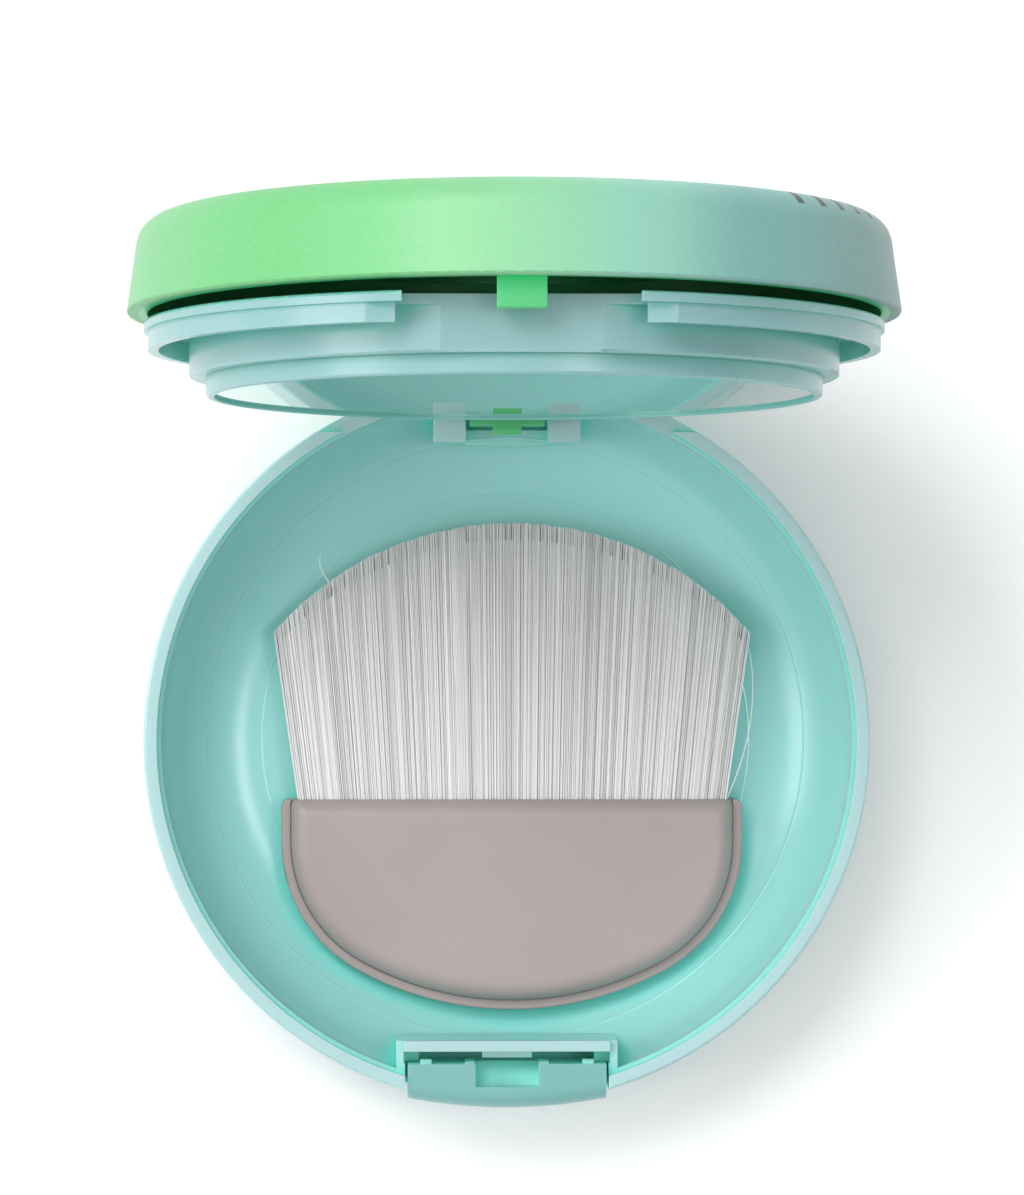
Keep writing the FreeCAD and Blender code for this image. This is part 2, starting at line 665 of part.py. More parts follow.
def make_lid_cover():
    """Outer skin of the lid, with a drop lip behind that closes the gap over the base's lowered rim."""
    body = new_body("lid_cover")
    low = f"({RIM} + lid_gap)"
    outer = lid_line("0", f"{low} + edge_round")
    inner = lid_line("lid_wall", low)
    spin(body, "skin", [("base_radius - edge_round", low, "edge_round")] + outer + backwards(inner))
    lip_inner = "(base_radius - lid_wall)"
    lip_line = "(base_radius - step_inset + rear_lip_play)"
    lip_edge = "(notch_half + rear_lip_play)"
    for side, turn in (("right", ""), ("left", "0 - ")):
        sign = "" if turn == "" else "0 - "
        corners = [(f"{turn}sqrt({lip_inner}^2 - {lip_line}^2)", lip_line),
                   (f"{turn}sqrt(base_radius^2 - {lip_line}^2)", lip_line, f"{sign}base_radius"),
                   (f"{turn}{lip_edge}", f"sqrt(base_radius^2 - {lip_edge}^2)"),
                   (f"{turn}{lip_edge}", f"sqrt({lip_inner}^2 - {lip_edge}^2)", f"{sign}(0 - {lip_inner})")]
        slab(body, f"rear_lip_{side}", "xy", [corners], f"{low} - step_depth + rear_lip_lift",
             "step_depth - rear_lip_lift + weld")
    block(body, "knuckle_slot", across("lid_knuckle_half"), ("base_radius - knuckle_slot_inset", WIDE),
          (f"{low} - cut_over", f"{RIM} + neck_rise"), cut=True)
    return body


def make_lid_inner():
    """Coloured liner inside the skin, with the latch hook in front and the knuckle with its stop leaf behind."""
    body = new_body("lid_inner")
    low = f"({RIM} + lid_gap)"
    outer = lid_line("lid_wall", low)
    inner = lid_line("lid_wall + liner_wall", low)
    spin(body, "liner", outer + backwards(inner))
    add_hook(body)
    add_lid_knuckle(body)
    return body


def add_hook(body):
    """Hook that hangs below the rim, barbed towards the catch, on a rib that leans with the liner's wall."""
    root = f"{RIM} + neck_rise"
    rib = [(front("lid_wall + weld"), root), (front("hook_back"), root), (front("hook_back"), f"{RIM} + lid_side"),
           (front("lid_wall + lid_taper + weld"), f"{RIM} + lid_side")]
    slab(body, "hook_rib", "yz", [rib], "0 - hook_half", "2 * hook_half")
    low = f"{RIM} - hook_hang"
    barb_top = f"{RIM} - catch_drop - latch_gap"
    slope = "(hook_hang - catch_drop - latch_gap - catch_land)"
    hook = [(front("hook_front"), root), (front("hook_front"), f"{low} + hook_bevel"),
            (front("hook_front + hook_bevel"), low),
            (front(f"barb_back - {slope}"), low), (front("barb_back"), f"{barb_top} - catch_land"),
            (front("barb_back"), barb_top), (front("hook_back"), barb_top), (front("hook_back"), root)]
    slab(body, "hook", "yz", [hook], "0 - hook_half", "2 * hook_half")


def add_lid_knuckle(body):
    """Neck down from the liner to the pin, knuckle, and the leaf with its narrower tab below."""
    half = "lid_knuckle_half"
    width = f"2 * {half}"
    start = f"0 - {half}"
    leaf_front = f"({HINGE_Y} - leaf_ahead)"
    leaf_rear = f"({HINGE_Y} - leaf_ahead + leaf_thick)"
    neck = box_loop(f"{HINGE_Y} - neck_front", f"{HINGE_Y} + neck_back", HINGE_Z, f"{RIM} + neck_rise")
    slab(body, "neck", "yz", [neck], start, width)
    slab(body, "knuckle", "yz", [("circle", HINGE_Y, HINGE_Z, "knuckle_radius")], start, width)
    leaf = [(leaf_front, f"{HINGE_Z} + leaf_top"), (leaf_front, f"{HINGE_Z} - leaf_reach"),
            (leaf_rear, f"{HINGE_Z} - leaf_reach"), (leaf_rear, f"{HINGE_Z} - leaf_heel"),
            (HINGE_Y, f"{HINGE_Z} - leaf_heel"), (HINGE_Y, f"{HINGE_Z} + leaf_top")]
    slab(body, "leaf", "yz", [leaf], start, width)
    tab = [(leaf_front, f"{HINGE_Z} - leaf_reach"), (leaf_front, f"{HINGE_Z} - tab_reach + tab_bevel"),
           (f"{leaf_front} + tab_bevel", f"{HINGE_Z} - tab_reach"), (leaf_rear, f"{HINGE_Z} - tab_reach"),
           (leaf_rear, f"{HINGE_Z} - leaf_reach")]
    slab(body, "tab", "yz", [tab], "0 - tab_half", "2 * tab_half")
    slab(body, "pin_bore", "yz", [("circle", HINGE_Y, HINGE_Z, "pin_radius + pin_play")],
         f"0 - {half} - cut_over", f"{width} + 2 * cut_over", cut=True)


# ---------------------------------------------------------------- brush

MOUTH_Y = "(0 - mouth_ahead)"
HANDLE_HALF = "(base_radius - handle_side_inset)"
SLOT_HALF = f"({HANDLE_HALF} - slot_margin)"
TUFT_ROOT = f"({MOUTH_Y} - slot_depth)"
SLOT_END = f"({TUFT_ROOT} - glue_depth)"
SLOT_LOW = brush_level("slot_low_part")
SLOT_TOP = brush_level("slot_top_part")
SEAM = brush_level("seam_part")
BRUSH_TOP = brush_level(1)


def handle_outline(inset, mouth=MOUTH_Y):
    """Half-moon handle: flat mouth side, short flanks, two corner arcs and a wide lower arc that meet smoothly."""
    centre_x = f"({HANDLE_HALF} - handle_corner)"
    centre_gap = "(handle_belly - handle_corner)"
    belly_y = front("handle_front_inset + handle_belly")
    drop = f"sqrt({centre_gap}^2 - {centre_x}^2)"
    join_x = f"({centre_x} * (handle_belly - ({inset})) / {centre_gap})"
    join_y = f"({belly_y} - {drop} * (handle_belly - ({inset})) / {centre_gap})"
    flank = f"({HANDLE_HALF} - ({inset}))"
    flank_low = f"({belly_y} - {drop})"
    corner = f"(handle_corner - ({inset}))"
    return [(f"brush_x - {flank}", mouth), (f"brush_x - {flank}", flank_low, corner),
            (f"brush_x - {join_x}", join_y, f"handle_belly - ({inset})"), (f"brush_x + {join_x}", join_y, corner),
            (f"brush_x + {flank}", flank_low), (f"brush_x + {flank}", mouth)]


def is_mouth_corner(edge):
    """Whether an edge stands upright at one end of the handle's mouth."""
    box = edge.BoundBox
    return not is_level(edge) and box.XLength < NEAR and box.YMin > value(MOUTH_Y) - NEAR


def behind_mouth(edge):
    """Whether an edge reaches back from the handle's mouth."""
    return edge.BoundBox.YMin < value(MOUTH_Y) - NEAR


def cut_slot(body):
    """The slot across the handle's mouth that takes the bristles and their glue."""
    block(body, "slot", (f"brush_x - {SLOT_HALF}", f"brush_x + {SLOT_HALF}"), (SLOT_END, f"{MOUTH_Y} + cut_over"),
          (SLOT_LOW, SLOT_TOP), cut=True)


def clear_bowl(body):
    """Take away what would touch the bowl's curved wall, with the brush's play to spare."""
    curve = f"({BOWL_CURVE} - brush_play)"
    reach = f"{FLOOR_RADIUS} + sqrt({curve}^2 - ({BOWL_CURVE} - {WALL_LOW} + floor_top)^2)"
    sketch = place_sketch(body, "wall_relief_outline", "xz", 0)
    draw_loop(sketch, [(FLOOR_RADIUS, "floor_top + brush_play", curve), (reach, WALL_LOW), ("base_radius", WALL_LOW),
                       ("base_radius", "floor_top - cut_over"), (FLOOR_RADIUS, "floor_top - cut_over")])
    relief = body.newObject("PartDesign::Groove", "wall_relief")
    relief.Profile = sketch
    relief.ReferenceAxis = (sketch, ["V_Axis"])
    relief.Angle = 360


def make_handle_lower():
    """Lower half of the handle: bevelled below, with a low lip round the upper half."""
    body = new_body("brush_handle_lower")
    slab(body, "plate", "xy", [handle_outline("0")], "floor_top", f"{SEAM} + lip_height - floor_top")
    round_edges(body, "mouth_corners", "mouth_round", is_mouth_corner)
    bevel_edges(body, "lower_bevel", "handle_bevel",
                lambda edge: is_level(edge) and behind_mouth(edge) and edge.BoundBox.ZMax < value(SEAM))
    round_edges(body, "lip_round", "lip_round",
                lambda edge: is_level(edge) and behind_mouth(edge) and edge.BoundBox.ZMin > value(SEAM))
    seat = handle_outline("cap_inset", f"{MOUTH_Y} + cut_over")
    slab(body, "cap_seat", "xy", [seat], SEAM, "lip_height + cut_over", cut=True)
    cut_slot(body)
    clear_bowl(body)
    return body


def make_handle_upper():
    """Upper half of the handle, let into the lower one, with a cushion-like roll round its top."""
    body = new_body("brush_handle_upper")
    slab(body, "plate", "xy", [handle_outline("cap_inset + cap_play")], SEAM, f"{BRUSH_TOP} - {SEAM}")
    round_edges(body, "mouth_corners", "mouth_round", is_mouth_corner)
    round_edges(body, "top_roll", f"min(cap_round; 0.75 * ({BRUSH_TOP} - {SEAM}))",
                lambda edge: is_level(edge) and behind_mouth(edge) and edge.BoundBox.ZMin > value(SEAM) + NEAR)
    cut_slot(body)
    return body


def make_bristle_tuft():
    """Flat fan of bristles, with its root in the handle's slot."""
    body = new_body("bristle_tuft")
    root_half = f"({SLOT_HALF} - tuft_play)"
    corner_half = "(base_radius - tuft_side_inset)"
    tip_arc = f"({corner_half}^2 + tuft_rise^2) / (2 * tuft_rise)"
    fan = [(f"brush_x - {root_half}", TUFT_ROOT), (f"brush_x + {root_half}", TUFT_ROOT),
           (f"brush_x + {root_half}", MOUTH_Y), (f"brush_x + {corner_half}", "tuft_corner", tip_arc),
           (f"brush_x - {corner_half}", "tuft_corner"), (f"brush_x - {root_half}", MOUTH_Y)]
    slab(body, "fan", "xy", [fan], f"{SLOT_LOW} + tuft_play", f"{SLOT_TOP} - {SLOT_LOW} - 2 * tuft_play")
    return body


def make_tuft_glue():
    """Bar of glue behind the bristles at the end of the slot."""
    body = new_body("tuft_glue")
    block(body, "bar", (f"brush_x - {SLOT_HALF}", f"brush_x + {SLOT_HALF}"), (SLOT_END, TUFT_ROOT),
          (SLOT_LOW, SLOT_TOP))
    return body


# ---------------------------------------------------------------- assemble, check and write

base_group = [make_base_shell(), make_hinge_pin(), make_bottom_label(), make_latch_button(),
              make_handle_lower(), make_handle_upper(), make_bristle_tuft(), make_tuft_glue()]
tray_group = [make_tray_shell(), make_powder_pan(), make_pan_glue(), make_pressed_powder(),
              make_mirror_frame(), make_mirror(), make_mirror_tape()]
lid_group = [make_lid_cover(), make_lid_inner()]

for tray_body in tray_group:
    swing(tray_body, "tray_open")
for lid_body in lid_group:
    swing(lid_body, "lid_open")
doc.recompute()


def check_document():
    """Stop when any object failed, or when a feature added or took away nothing."""
    for item in doc.Objects:
        if "Invalid" in item.State or "Error" in item.State:
            raise RuntimeError(f"{item.Label} failed: {item.State}")
        base = getattr(item, "BaseFeature", None)
        if not item.isDerivedFrom("PartDesign::Feature") or base is None:
            continue
        change = item.Shape.Volume - base.Shape.Volume
        takes = item.TypeId.split("::")[1] in ("Pocket", "Groove", "Fillet", "Chamfer")
        if (change > -1e-6) if takes else (change < 1e-6):
            raise RuntimeError(f"{item.Label} changes its body by {change:.6f} mm3")


check_document()
os.makedirs("parts", exist_ok=True)
for body in base_group + tray_group + lid_group:
    shape = body.Shape
    if shape.isNull() or not shape.isValid() or len(shape.Solids) != 1:
        raise RuntimeError(f"{body.Label} has no single valid solid")
    shape.exportStep(f"parts/{body.Label}.step")
    print(f"{body.Label}: {shape.Volume:.1f} mm3")
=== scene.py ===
import json
import math
import random

import bmesh
import bpy
from mathutils import Matrix, Vector


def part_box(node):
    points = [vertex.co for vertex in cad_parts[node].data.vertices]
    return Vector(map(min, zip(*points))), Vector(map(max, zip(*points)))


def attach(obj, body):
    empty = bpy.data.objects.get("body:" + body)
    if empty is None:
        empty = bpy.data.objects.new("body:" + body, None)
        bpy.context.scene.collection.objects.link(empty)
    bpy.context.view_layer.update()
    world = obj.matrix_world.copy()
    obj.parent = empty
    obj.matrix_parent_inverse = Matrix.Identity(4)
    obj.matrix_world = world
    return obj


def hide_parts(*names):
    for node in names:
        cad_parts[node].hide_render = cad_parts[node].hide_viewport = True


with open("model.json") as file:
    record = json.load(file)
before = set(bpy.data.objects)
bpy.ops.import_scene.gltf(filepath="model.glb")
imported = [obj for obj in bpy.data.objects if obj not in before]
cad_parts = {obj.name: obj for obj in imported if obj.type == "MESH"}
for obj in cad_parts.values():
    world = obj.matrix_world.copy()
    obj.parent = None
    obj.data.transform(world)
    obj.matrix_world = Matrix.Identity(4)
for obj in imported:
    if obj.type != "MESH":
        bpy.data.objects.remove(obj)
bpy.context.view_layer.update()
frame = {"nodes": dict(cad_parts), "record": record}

nodes = frame["nodes"]
MM = 0.001

# ---------------------------------------------------------------- base bowl
# The base is one injection moulding in pale aqua ABS. Its polished walls let some light through,
# so the inside of the bowl is painted a deeper teal than the rim and the outside, as painted light for that
# glow.


def linear(code, alpha=1.0):
    """An sRGB hex colour as the linear colour that Blender's sockets take."""
    channels = [int(code[i:i + 2], 16) / 255 for i in (1, 3, 5)]
    return tuple(c / 12.92 if c <= 0.04045 else ((c + 0.055) / 1.055) ** 2.4 for c in channels) + (alpha,)


def add_node(tree, kind, feeds=None):
    """Adds a node. Each feed is a socket for an input, or a value for a property or else for an input."""
    made = tree.nodes.new(kind)
    for key, value in (feeds or {}).items():
        if isinstance(value, bpy.types.NodeSocket):
            tree.links.new(value, made.inputs[key])
        elif isinstance(key, str) and hasattr(made, key):
            setattr(made, key, value)
        else:
            made.inputs[key].default_value = value
    return made


def new_material(name, settings):
    """An empty material with a Principled shader, and its tree, shader and Object coordinates."""
    made = bpy.data.materials.new(name)
    made.use_nodes = True
    tree = made.node_tree
    tree.nodes.clear()
    shader = add_node(tree, "ShaderNodeBsdfPrincipled", settings)
    add_node(tree, "ShaderNodeOutputMaterial", {"Surface": shader.outputs["BSDF"]})
    place = add_node(tree, "ShaderNodeTexCoord").outputs["Object"]
    return made, tree, shader, place


def add_radius(tree, place):
    """The distance from the compact's middle axis, and the three coordinates."""
    axes = add_node(tree, "ShaderNodeSeparateXYZ", {"Vector": place}).outputs
    flat = add_node(tree, "ShaderNodeCombineXYZ", {"X": axes["X"], "Y": axes["Y"]}).outputs["Vector"]
    return add_node(tree, "ShaderNodeVectorMath", {"operation": "LENGTH", 0: flat}).outputs["Value"], axes


def add_line_distance(tree, radius, line):
    """How far a radius is from a ring line."""
    return add_node(tree, "ShaderNodeMath",
                    {"operation": "ABSOLUTE",
                     0: add_node(tree, "ShaderNodeMath",
                                 {"operation": "SUBTRACT", 0: radius, 1: line}).outputs[0]}).outputs[0]


SWELL_MM, SWELL_DEPTH_MM = 9.0, 0.05
GLOSS_PATCH_MM, GLOSS_DRIFT = 5.0, 0.02


def add_surface(tree, shader, place, roughness, grain_mm, grain_depth_mm, edge_mm=0.12):
    """Moulded surface: softened edges, a slow unevenness and fine grain, and a little change in gloss."""
    soft_edge = add_node(tree, "ShaderNodeBevel", {"samples": 4, "Radius": edge_mm * MM}).outputs["Normal"]
    swell = add_node(tree, "ShaderNodeBump",
                     {"Height": add_node(tree, "ShaderNodeTexNoise",
                                         {"Scale": 1000 / SWELL_MM, "Detail": 2.0,
                                          "Vector": place}).outputs["Fac"],
                      "Distance": SWELL_DEPTH_MM * MM, "Strength": 0.2,
                      "Normal": soft_edge}).outputs["Normal"]
    fine = add_node(tree, "ShaderNodeBump",
                    {"Height": add_node(tree, "ShaderNodeTexNoise",
                                        {"Scale": 1000 / grain_mm, "Detail": 4.0,
                                         "Vector": place}).outputs["Fac"],
                     "Distance": grain_depth_mm * MM, "Strength": 0.3, "Normal": swell}).outputs["Normal"]
    tree.links.new(fine, shader.inputs["Normal"])
    gloss = add_node(tree, "ShaderNodeMapRange",
                     {"Value": add_node(tree, "ShaderNodeTexNoise",
                                        {"Scale": 1000 / GLOSS_PATCH_MM, "Detail": 1.0,
                                         "Vector": place}).outputs["Fac"],
                      "From Min": 0.3, "From Max": 0.7, "To Min": roughness - GLOSS_DRIFT,
                      "To Max": roughness + GLOSS_DRIFT}).outputs["Result"]
    tree.links.new(gloss, shader.inputs["Roughness"])
    return fine


def add_painted_hollow_glow(tree, colour, hollow_glow_colour, reach_mm=4.0):
    """Painted glow for a wall that lets light through: the colour turns to the glow colour where surfaces close
    in, as painted light in the hollows.
    """
    shelter = add_node(tree, "ShaderNodeAmbientOcclusion", {"samples": 6, "Distance": reach_mm * MM})
    openness = add_node(tree, "ShaderNodeMapRange",
                        {"Value": shelter.outputs["AO"], "From Min": 0.35,
                         "From Max": 0.85}).outputs["Result"]
    return add_node(tree, "ShaderNodeMix",
                    {"data_type": "RGBA", 0: openness, 6: linear(hollow_glow_colour), 7: colour}).outputs[2]


RIM_AQUA = "#ABC8CA"
BOWL_PAINTED_GLOW_TEAL = "#9DD9D5"
CLOUDY_TEAL = "#84D6CF"
HOLLOW_PAINTED_GLOW_TEAL = "#78EDDF"
SOFT_PLASTIC = {"Subsurface Weight": 0.4, "Subsurface Scale": 2.0 * MM,
                "Subsurface Radius": (0.45, 1.0, 0.9)}
_, (BASE_RADIUS, _, BASE_HIGH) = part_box("base_shell")
WALL_INNER = BASE_RADIUS - 1.6 * MM
WALL_FADE = 0.4 * MM
RIM_FADE = (1.2 * MM, 3.6 * MM)
FOOT_FADE = (0.4 * MM, 1.0 * MM)
RING_LINES = (BASE_RADIUS - 12.0 * MM, BASE_RADIUS - 6.1 * MM)
RING_HALF = 0.16 * MM
RING_DEPTH_MM = 0.06
CLOUD_MM = 14.0

# ABS, moulded in a polished tool: glossy, with faint ring marks of the tool's inserts inside the bowl.
base_abs, tree, shader, place = new_material("polished_aqua_abs", {"IOR": 1.53, **SOFT_PLASTIC})
radius, axes = add_radius(tree, place)
within = add_node(tree, "ShaderNodeMapRange",
                  {"Value": radius, "From Min": WALL_INNER,
                   "From Max": WALL_INNER - WALL_FADE}).outputs["Result"]
below_rim = add_node(tree, "ShaderNodeMapRange",
                     {"Value": axes["Z"], "From Min": BASE_HIGH - RIM_FADE[0],
                      "From Max": BASE_HIGH - RIM_FADE[1]}).outputs["Result"]
above_foot = add_node(tree, "ShaderNodeMapRange",
                      {"Value": axes["Z"], "From Min": FOOT_FADE[0],
                       "From Max": FOOT_FADE[1]}).outputs["Result"]
inside = add_node(tree, "ShaderNodeMath",
                  {"operation": "MULTIPLY",
                   0: add_node(tree, "ShaderNodeMath",
                               {"operation": "MULTIPLY", 0: within, 1: below_rim}).outputs[0],
                   1: above_foot}).outputs[0]
# Painted light: inside the bowl the colour turns from the rim's aqua to a deeper teal, standing for light
# through the walls.
painted_bowl_glow = add_node(tree, "ShaderNodeMix",
                {"data_type": "RGBA", 0: inside, 6: linear(RIM_AQUA), 7: linear(BOWL_PAINTED_GLOW_TEAL)}).outputs[2]
cloud = add_node(tree, "ShaderNodeMapRange",
                 {"Value": add_node(tree, "ShaderNodeTexNoise",
                                    {"Scale": 1000 / CLOUD_MM, "Detail": 2.0,
                                     "Vector": place}).outputs["Fac"],
                  "From Min": 0.3, "From Max": 0.7, "To Min": 0.0, "To Max": 0.1}).outputs["Result"]
cloudy = add_node(tree, "ShaderNodeMix",
                  {"data_type": "RGBA", 0: cloud, 6: painted_bowl_glow, 7: linear(CLOUDY_TEAL)}).outputs[2]
# Painted glow: where surfaces close in, the bowl's colour turns to a brighter teal standing for light through
# the walls.
tree.links.new(add_painted_hollow_glow(tree, cloudy, HOLLOW_PAINTED_GLOW_TEAL, 2.5), shader.inputs["Base Color"])
relief = add_surface(tree, shader, place, 0.24, 0.5, 0.004)
for line in RING_LINES:
    ring = add_node(tree, "ShaderNodeMapRange",
                    {"Value": add_line_distance(tree, radius, line), "From Min": RING_HALF,
                     "From Max": 0.0}).outputs["Result"]
    relief = add_node(tree, "ShaderNodeBump",
                      {"Height": add_node(tree, "ShaderNodeMath",
                                          {"operation": "MULTIPLY", 0: ring, 1: inside}).outputs[0],
                       "Distance": RING_DEPTH_MM * MM, "Strength": 0.5, "Normal": relief}).outputs["Normal"]
tree.links.new(relief, shader.inputs["Normal"])


def paint(node, made):
    """Gives a CAD node its material in every slot."""
    for index in range(max(1, len(nodes[node].material_slots))):
        if not nodes[node].material_slots:
            nodes[node].data.materials.append(made)
        nodes[node].material_slots[index].material = made


paint("base_shell", base_abs)

# ---------------------------------------------------------------- bottom label
# A blank round paper label, glued into a shallow recess in the underside. It has a thin printed
# border ring and no text.
BORDER_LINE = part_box("bottom_label")[1][0] - 1.12 * MM
BORDER_EDGE = (0.22 * MM, 0.12 * MM)
label_paper, tree, shader, place = new_material("coated_label_paper", {"Roughness": 0.55, "IOR": 1.45})
radius, _ = add_radius(tree, place)
border = add_node(tree, "ShaderNodeMapRange",
                  {"Value": add_line_distance(tree, radius, BORDER_LINE), "From Min": BORDER_EDGE[0],
                   "From Max": BORDER_EDGE[1]}).outputs["Result"]
fibre = add_node(tree, "ShaderNodeMix",
                 {"data_type": "RGBA",
                  0: add_node(tree, "ShaderNodeMapRange",
                              {"Value": add_node(tree, "ShaderNodeTexNoise",
                                                 {"Scale": 1000 / 0.8, "Detail": 5.0,
                                                  "Vector": place}).outputs["Fac"],
                               "From Min": 0.35, "From Max": 0.65}).outputs["Result"],
                  6: linear("#F2F2EE"), 7: linear("#FAFAF8")}).outputs[2]
tree.links.new(add_node(tree, "ShaderNodeMix",
                        {"data_type": "RGBA", 0: border, 6: fibre, 7: linear("#7F9F9B")}).outputs[2],
               shader.inputs["Base Color"])
tree.links.new(add_node(tree, "ShaderNodeBump",
                        {"Height": add_node(tree, "ShaderNodeTexNoise",
                                            {"Scale": 1000 / 0.4, "Detail": 4.0,
                                             "Vector": place}).outputs["Fac"],
                         "Distance": 0.02 * MM, "Strength": 0.3}).outputs["Normal"],
               shader.inputs["Normal"])
paint("bottom_label", label_paper)

# ---------------------------------------------------------------- hinge pin
# One drawn steel wire, cut to length and pressed through the base's cheeks. Fine lines of the
# drawing die run along it.
pin_steel, tree, shader, place = new_material("drawn_steel_wire", {"Metallic": 1.0})
stretch = add_node(tree, "ShaderNodeMapping", {"Scale": (0.05, 1.0, 1.0), "Vector": place}).outputs["Vector"]
streak = add_node(tree, "ShaderNodeTexNoise",
                  {"Scale": 1000 / 0.15, "Detail": 3.0, "Vector": stretch}).outputs["Fac"]
tree.links.new(add_node(tree, "ShaderNodeMix",
                        {"data_type": "RGBA", 0: streak, 6: linear("#A9ABAE"),
                         7: linear("#D2D3D5")}).outputs[2],
               shader.inputs["Base Color"])
tree.links.new(add_node(tree, "ShaderNodeMapRange",
                        {"Value": streak, "From Min": 0.3, "From Max": 0.7, "To Min": 0.22,
                         "To Max": 0.38}).outputs["Result"],
               shader.inputs["Roughness"])
tree.links.new(add_node(tree, "ShaderNodeBump",
                        {"Height": streak, "Distance": 0.01 * MM, "Strength": 0.3}).outputs["Normal"],
               shader.inputs["Normal"])
paint("hinge_pin", pin_steel)


def plastic(name, light, dark, roughness, settings=None, hollow_glow_colour=None, grain_mm=0.5, grain_depth_mm=0.004,
            edge_mm=0.12):
    """A one-colour moulded plastic with a slight drift between two near shades."""
    made, tree, shader, place = new_material(name, {"IOR": 1.5, **(settings or {})})
    drift = add_node(tree, "ShaderNodeMapRange",
                     {"Value": add_node(tree, "ShaderNodeTexNoise",
                                        {"Scale": 1000 / 12.0, "Detail": 2.0,
                                         "Vector": place}).outputs["Fac"],
                      "From Min": 0.3, "From Max": 0.7, "To Min": 0.0, "To Max": 0.6}).outputs["Result"]
    colour = add_node(tree, "ShaderNodeMix",
                      {"data_type": "RGBA", 0: drift, 6: linear(light), 7: linear(dark)}).outputs[2]
    # With a glow colour, the hollows get painted light: a deeper, brighter colour standing for light through
    # the thin walls.
    tree.links.new(add_painted_hollow_glow(tree, colour, hollow_glow_colour) if hollow_glow_colour else colour, shader.inputs["Base Color"])
    add_surface(tree, shader, place, roughness, grain_mm, grain_depth_mm, edge_mm)
    return made


# ---------------------------------------------------------------- latch button
# The push button is its own moulding in a slightly greyer aqua. It slides in the base's front
# window on two guide ribs, and two springy prongs push it back.
# Painted glow: the button's hollows turn a brighter aqua, standing for light through its walls.
paint("latch_button", plastic("polished_grey_aqua_abs", "#7AB0AE", "#74AAA7", 0.24, SOFT_PLASTIC, "#A0F2E8"))

# ---------------------------------------------------------------- tray
# The middle deck is one pale aqua moulding with the powder cup above and the mirror's dish glued
# below. It turns on the hinge pin.
# Painted glow: the tray's hollows turn a brighter teal, standing for light through its walls.
tray_abs = plastic("polished_pale_abs", "#8DB3B5", "#87AFB0", 0.24, SOFT_PLASTIC, "#72C9BC")
paint("tray_shell", tray_abs)
paint("mirror_frame", tray_abs)

# ---------------------------------------------------------------- mirror
# Float glass, silvered behind and laid on tape in its dish. It is clean, with a very faint haze.
mirror_glass, tree, shader, place = new_material("silvered_glass", {"Metallic": 1.0})
haze = add_node(tree, "ShaderNodeMapRange",
                {"Value": add_node(tree, "ShaderNodeTexNoise",
                                   {"Scale": 1000 / 6.0, "Detail": 4.0, "Vector": place}).outputs["Fac"],
                 "From Min": 0.35, "From Max": 0.75, "To Min": 0.012, "To Max": 0.035}).outputs["Result"]
tree.links.new(haze, shader.inputs["Roughness"])
tree.links.new(add_node(tree, "ShaderNodeMix",
                        {"data_type": "RGBA",
                         0: add_node(tree, "ShaderNodeMapRange",
                                     {"Value": add_node(tree, "ShaderNodeTexNoise",
                                                        {"Scale": 1000 / 20.0, "Detail": 2.0,
                                                         "Vector": place}).outputs["Fac"],
                                      "From Min": 0.3, "From Max": 0.7}).outputs["Result"],
                         6: linear("#C6D6D1"), 7: linear("#C0D1CC")}).outputs[2],
               shader.inputs["Base Color"])
paint("mirror", mirror_glass)
paint("mirror_tape", plastic("white_foam_tape", "#F1F1EC", "#E7E7E0", 0.7, None, None, 0.3, 0.02))

# ---------------------------------------------------------------- powder
# A thin pressed-metal pan, stuck into the cup with a pad of glue, holds a cake of face powder
# that was pressed with a plain pattern of rings.
pan_metal, tree, shader, place = new_material("pressed_aluminium", {"Metallic": 1.0})
tree.links.new(add_node(tree, "ShaderNodeMix",
                        {"data_type": "RGBA",
                         0: add_node(tree, "ShaderNodeTexNoise",
                                     {"Scale": 1000 / 1.5, "Detail": 4.0, "Vector": place}).outputs["Fac"],
                         6: linear("#BFC0C2"), 7: linear("#DDDEE0")}).outputs[2],
               shader.inputs["Base Color"])
add_surface(tree, shader, place, 0.32, 0.3, 0.006)
paint("powder_pan", pan_metal)
paint("pan_glue", plastic("set_hot_glue", "#E8E2C8", "#DCD5B8", 0.4))

cake, tree, shader, place = new_material("pressed_face_powder", {"Roughness": 0.92, "IOR": 1.4,
                                                                "Sheen Weight": 0.25, "Sheen Roughness": 0.6})
POWDER_LOW, POWDER_HIGH = (Vector(corner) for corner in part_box("pressed_powder"))
powder_middle = (POWDER_LOW + POWDER_HIGH) / 2
centred = add_node(tree, "ShaderNodeMapping", {"Location": tuple(-powder_middle), "Vector": place})
from_middle = add_node(tree, "ShaderNodeVectorMath",
                       {"operation": "LENGTH", 0: centred.outputs["Vector"]}).outputs["Value"]
RING_STEP = 2.4 * MM
turns = add_node(tree, "ShaderNodeMath",
                 {"operation": "SINE",
                  0: add_node(tree, "ShaderNodeMath",
                              {"operation": "MULTIPLY", 0: from_middle,
                               1: 2 * math.pi / RING_STEP}).outputs[0]}).outputs[0]
grain = add_node(tree, "ShaderNodeTexNoise",
                 {"Scale": 1000 / 0.25, "Detail": 6.0, "Vector": place}).outputs["Fac"]
speckle = add_node(tree, "ShaderNodeMix",
                   {"data_type": "RGBA",
                    0: add_node(tree, "ShaderNodeMapRange",
                                {"Value": grain, "From Min": 0.35, "From Max": 0.65}).outputs["Result"],
                    6: linear("#E0BFA0"), 7: linear("#EBCFB4")}).outputs[2]
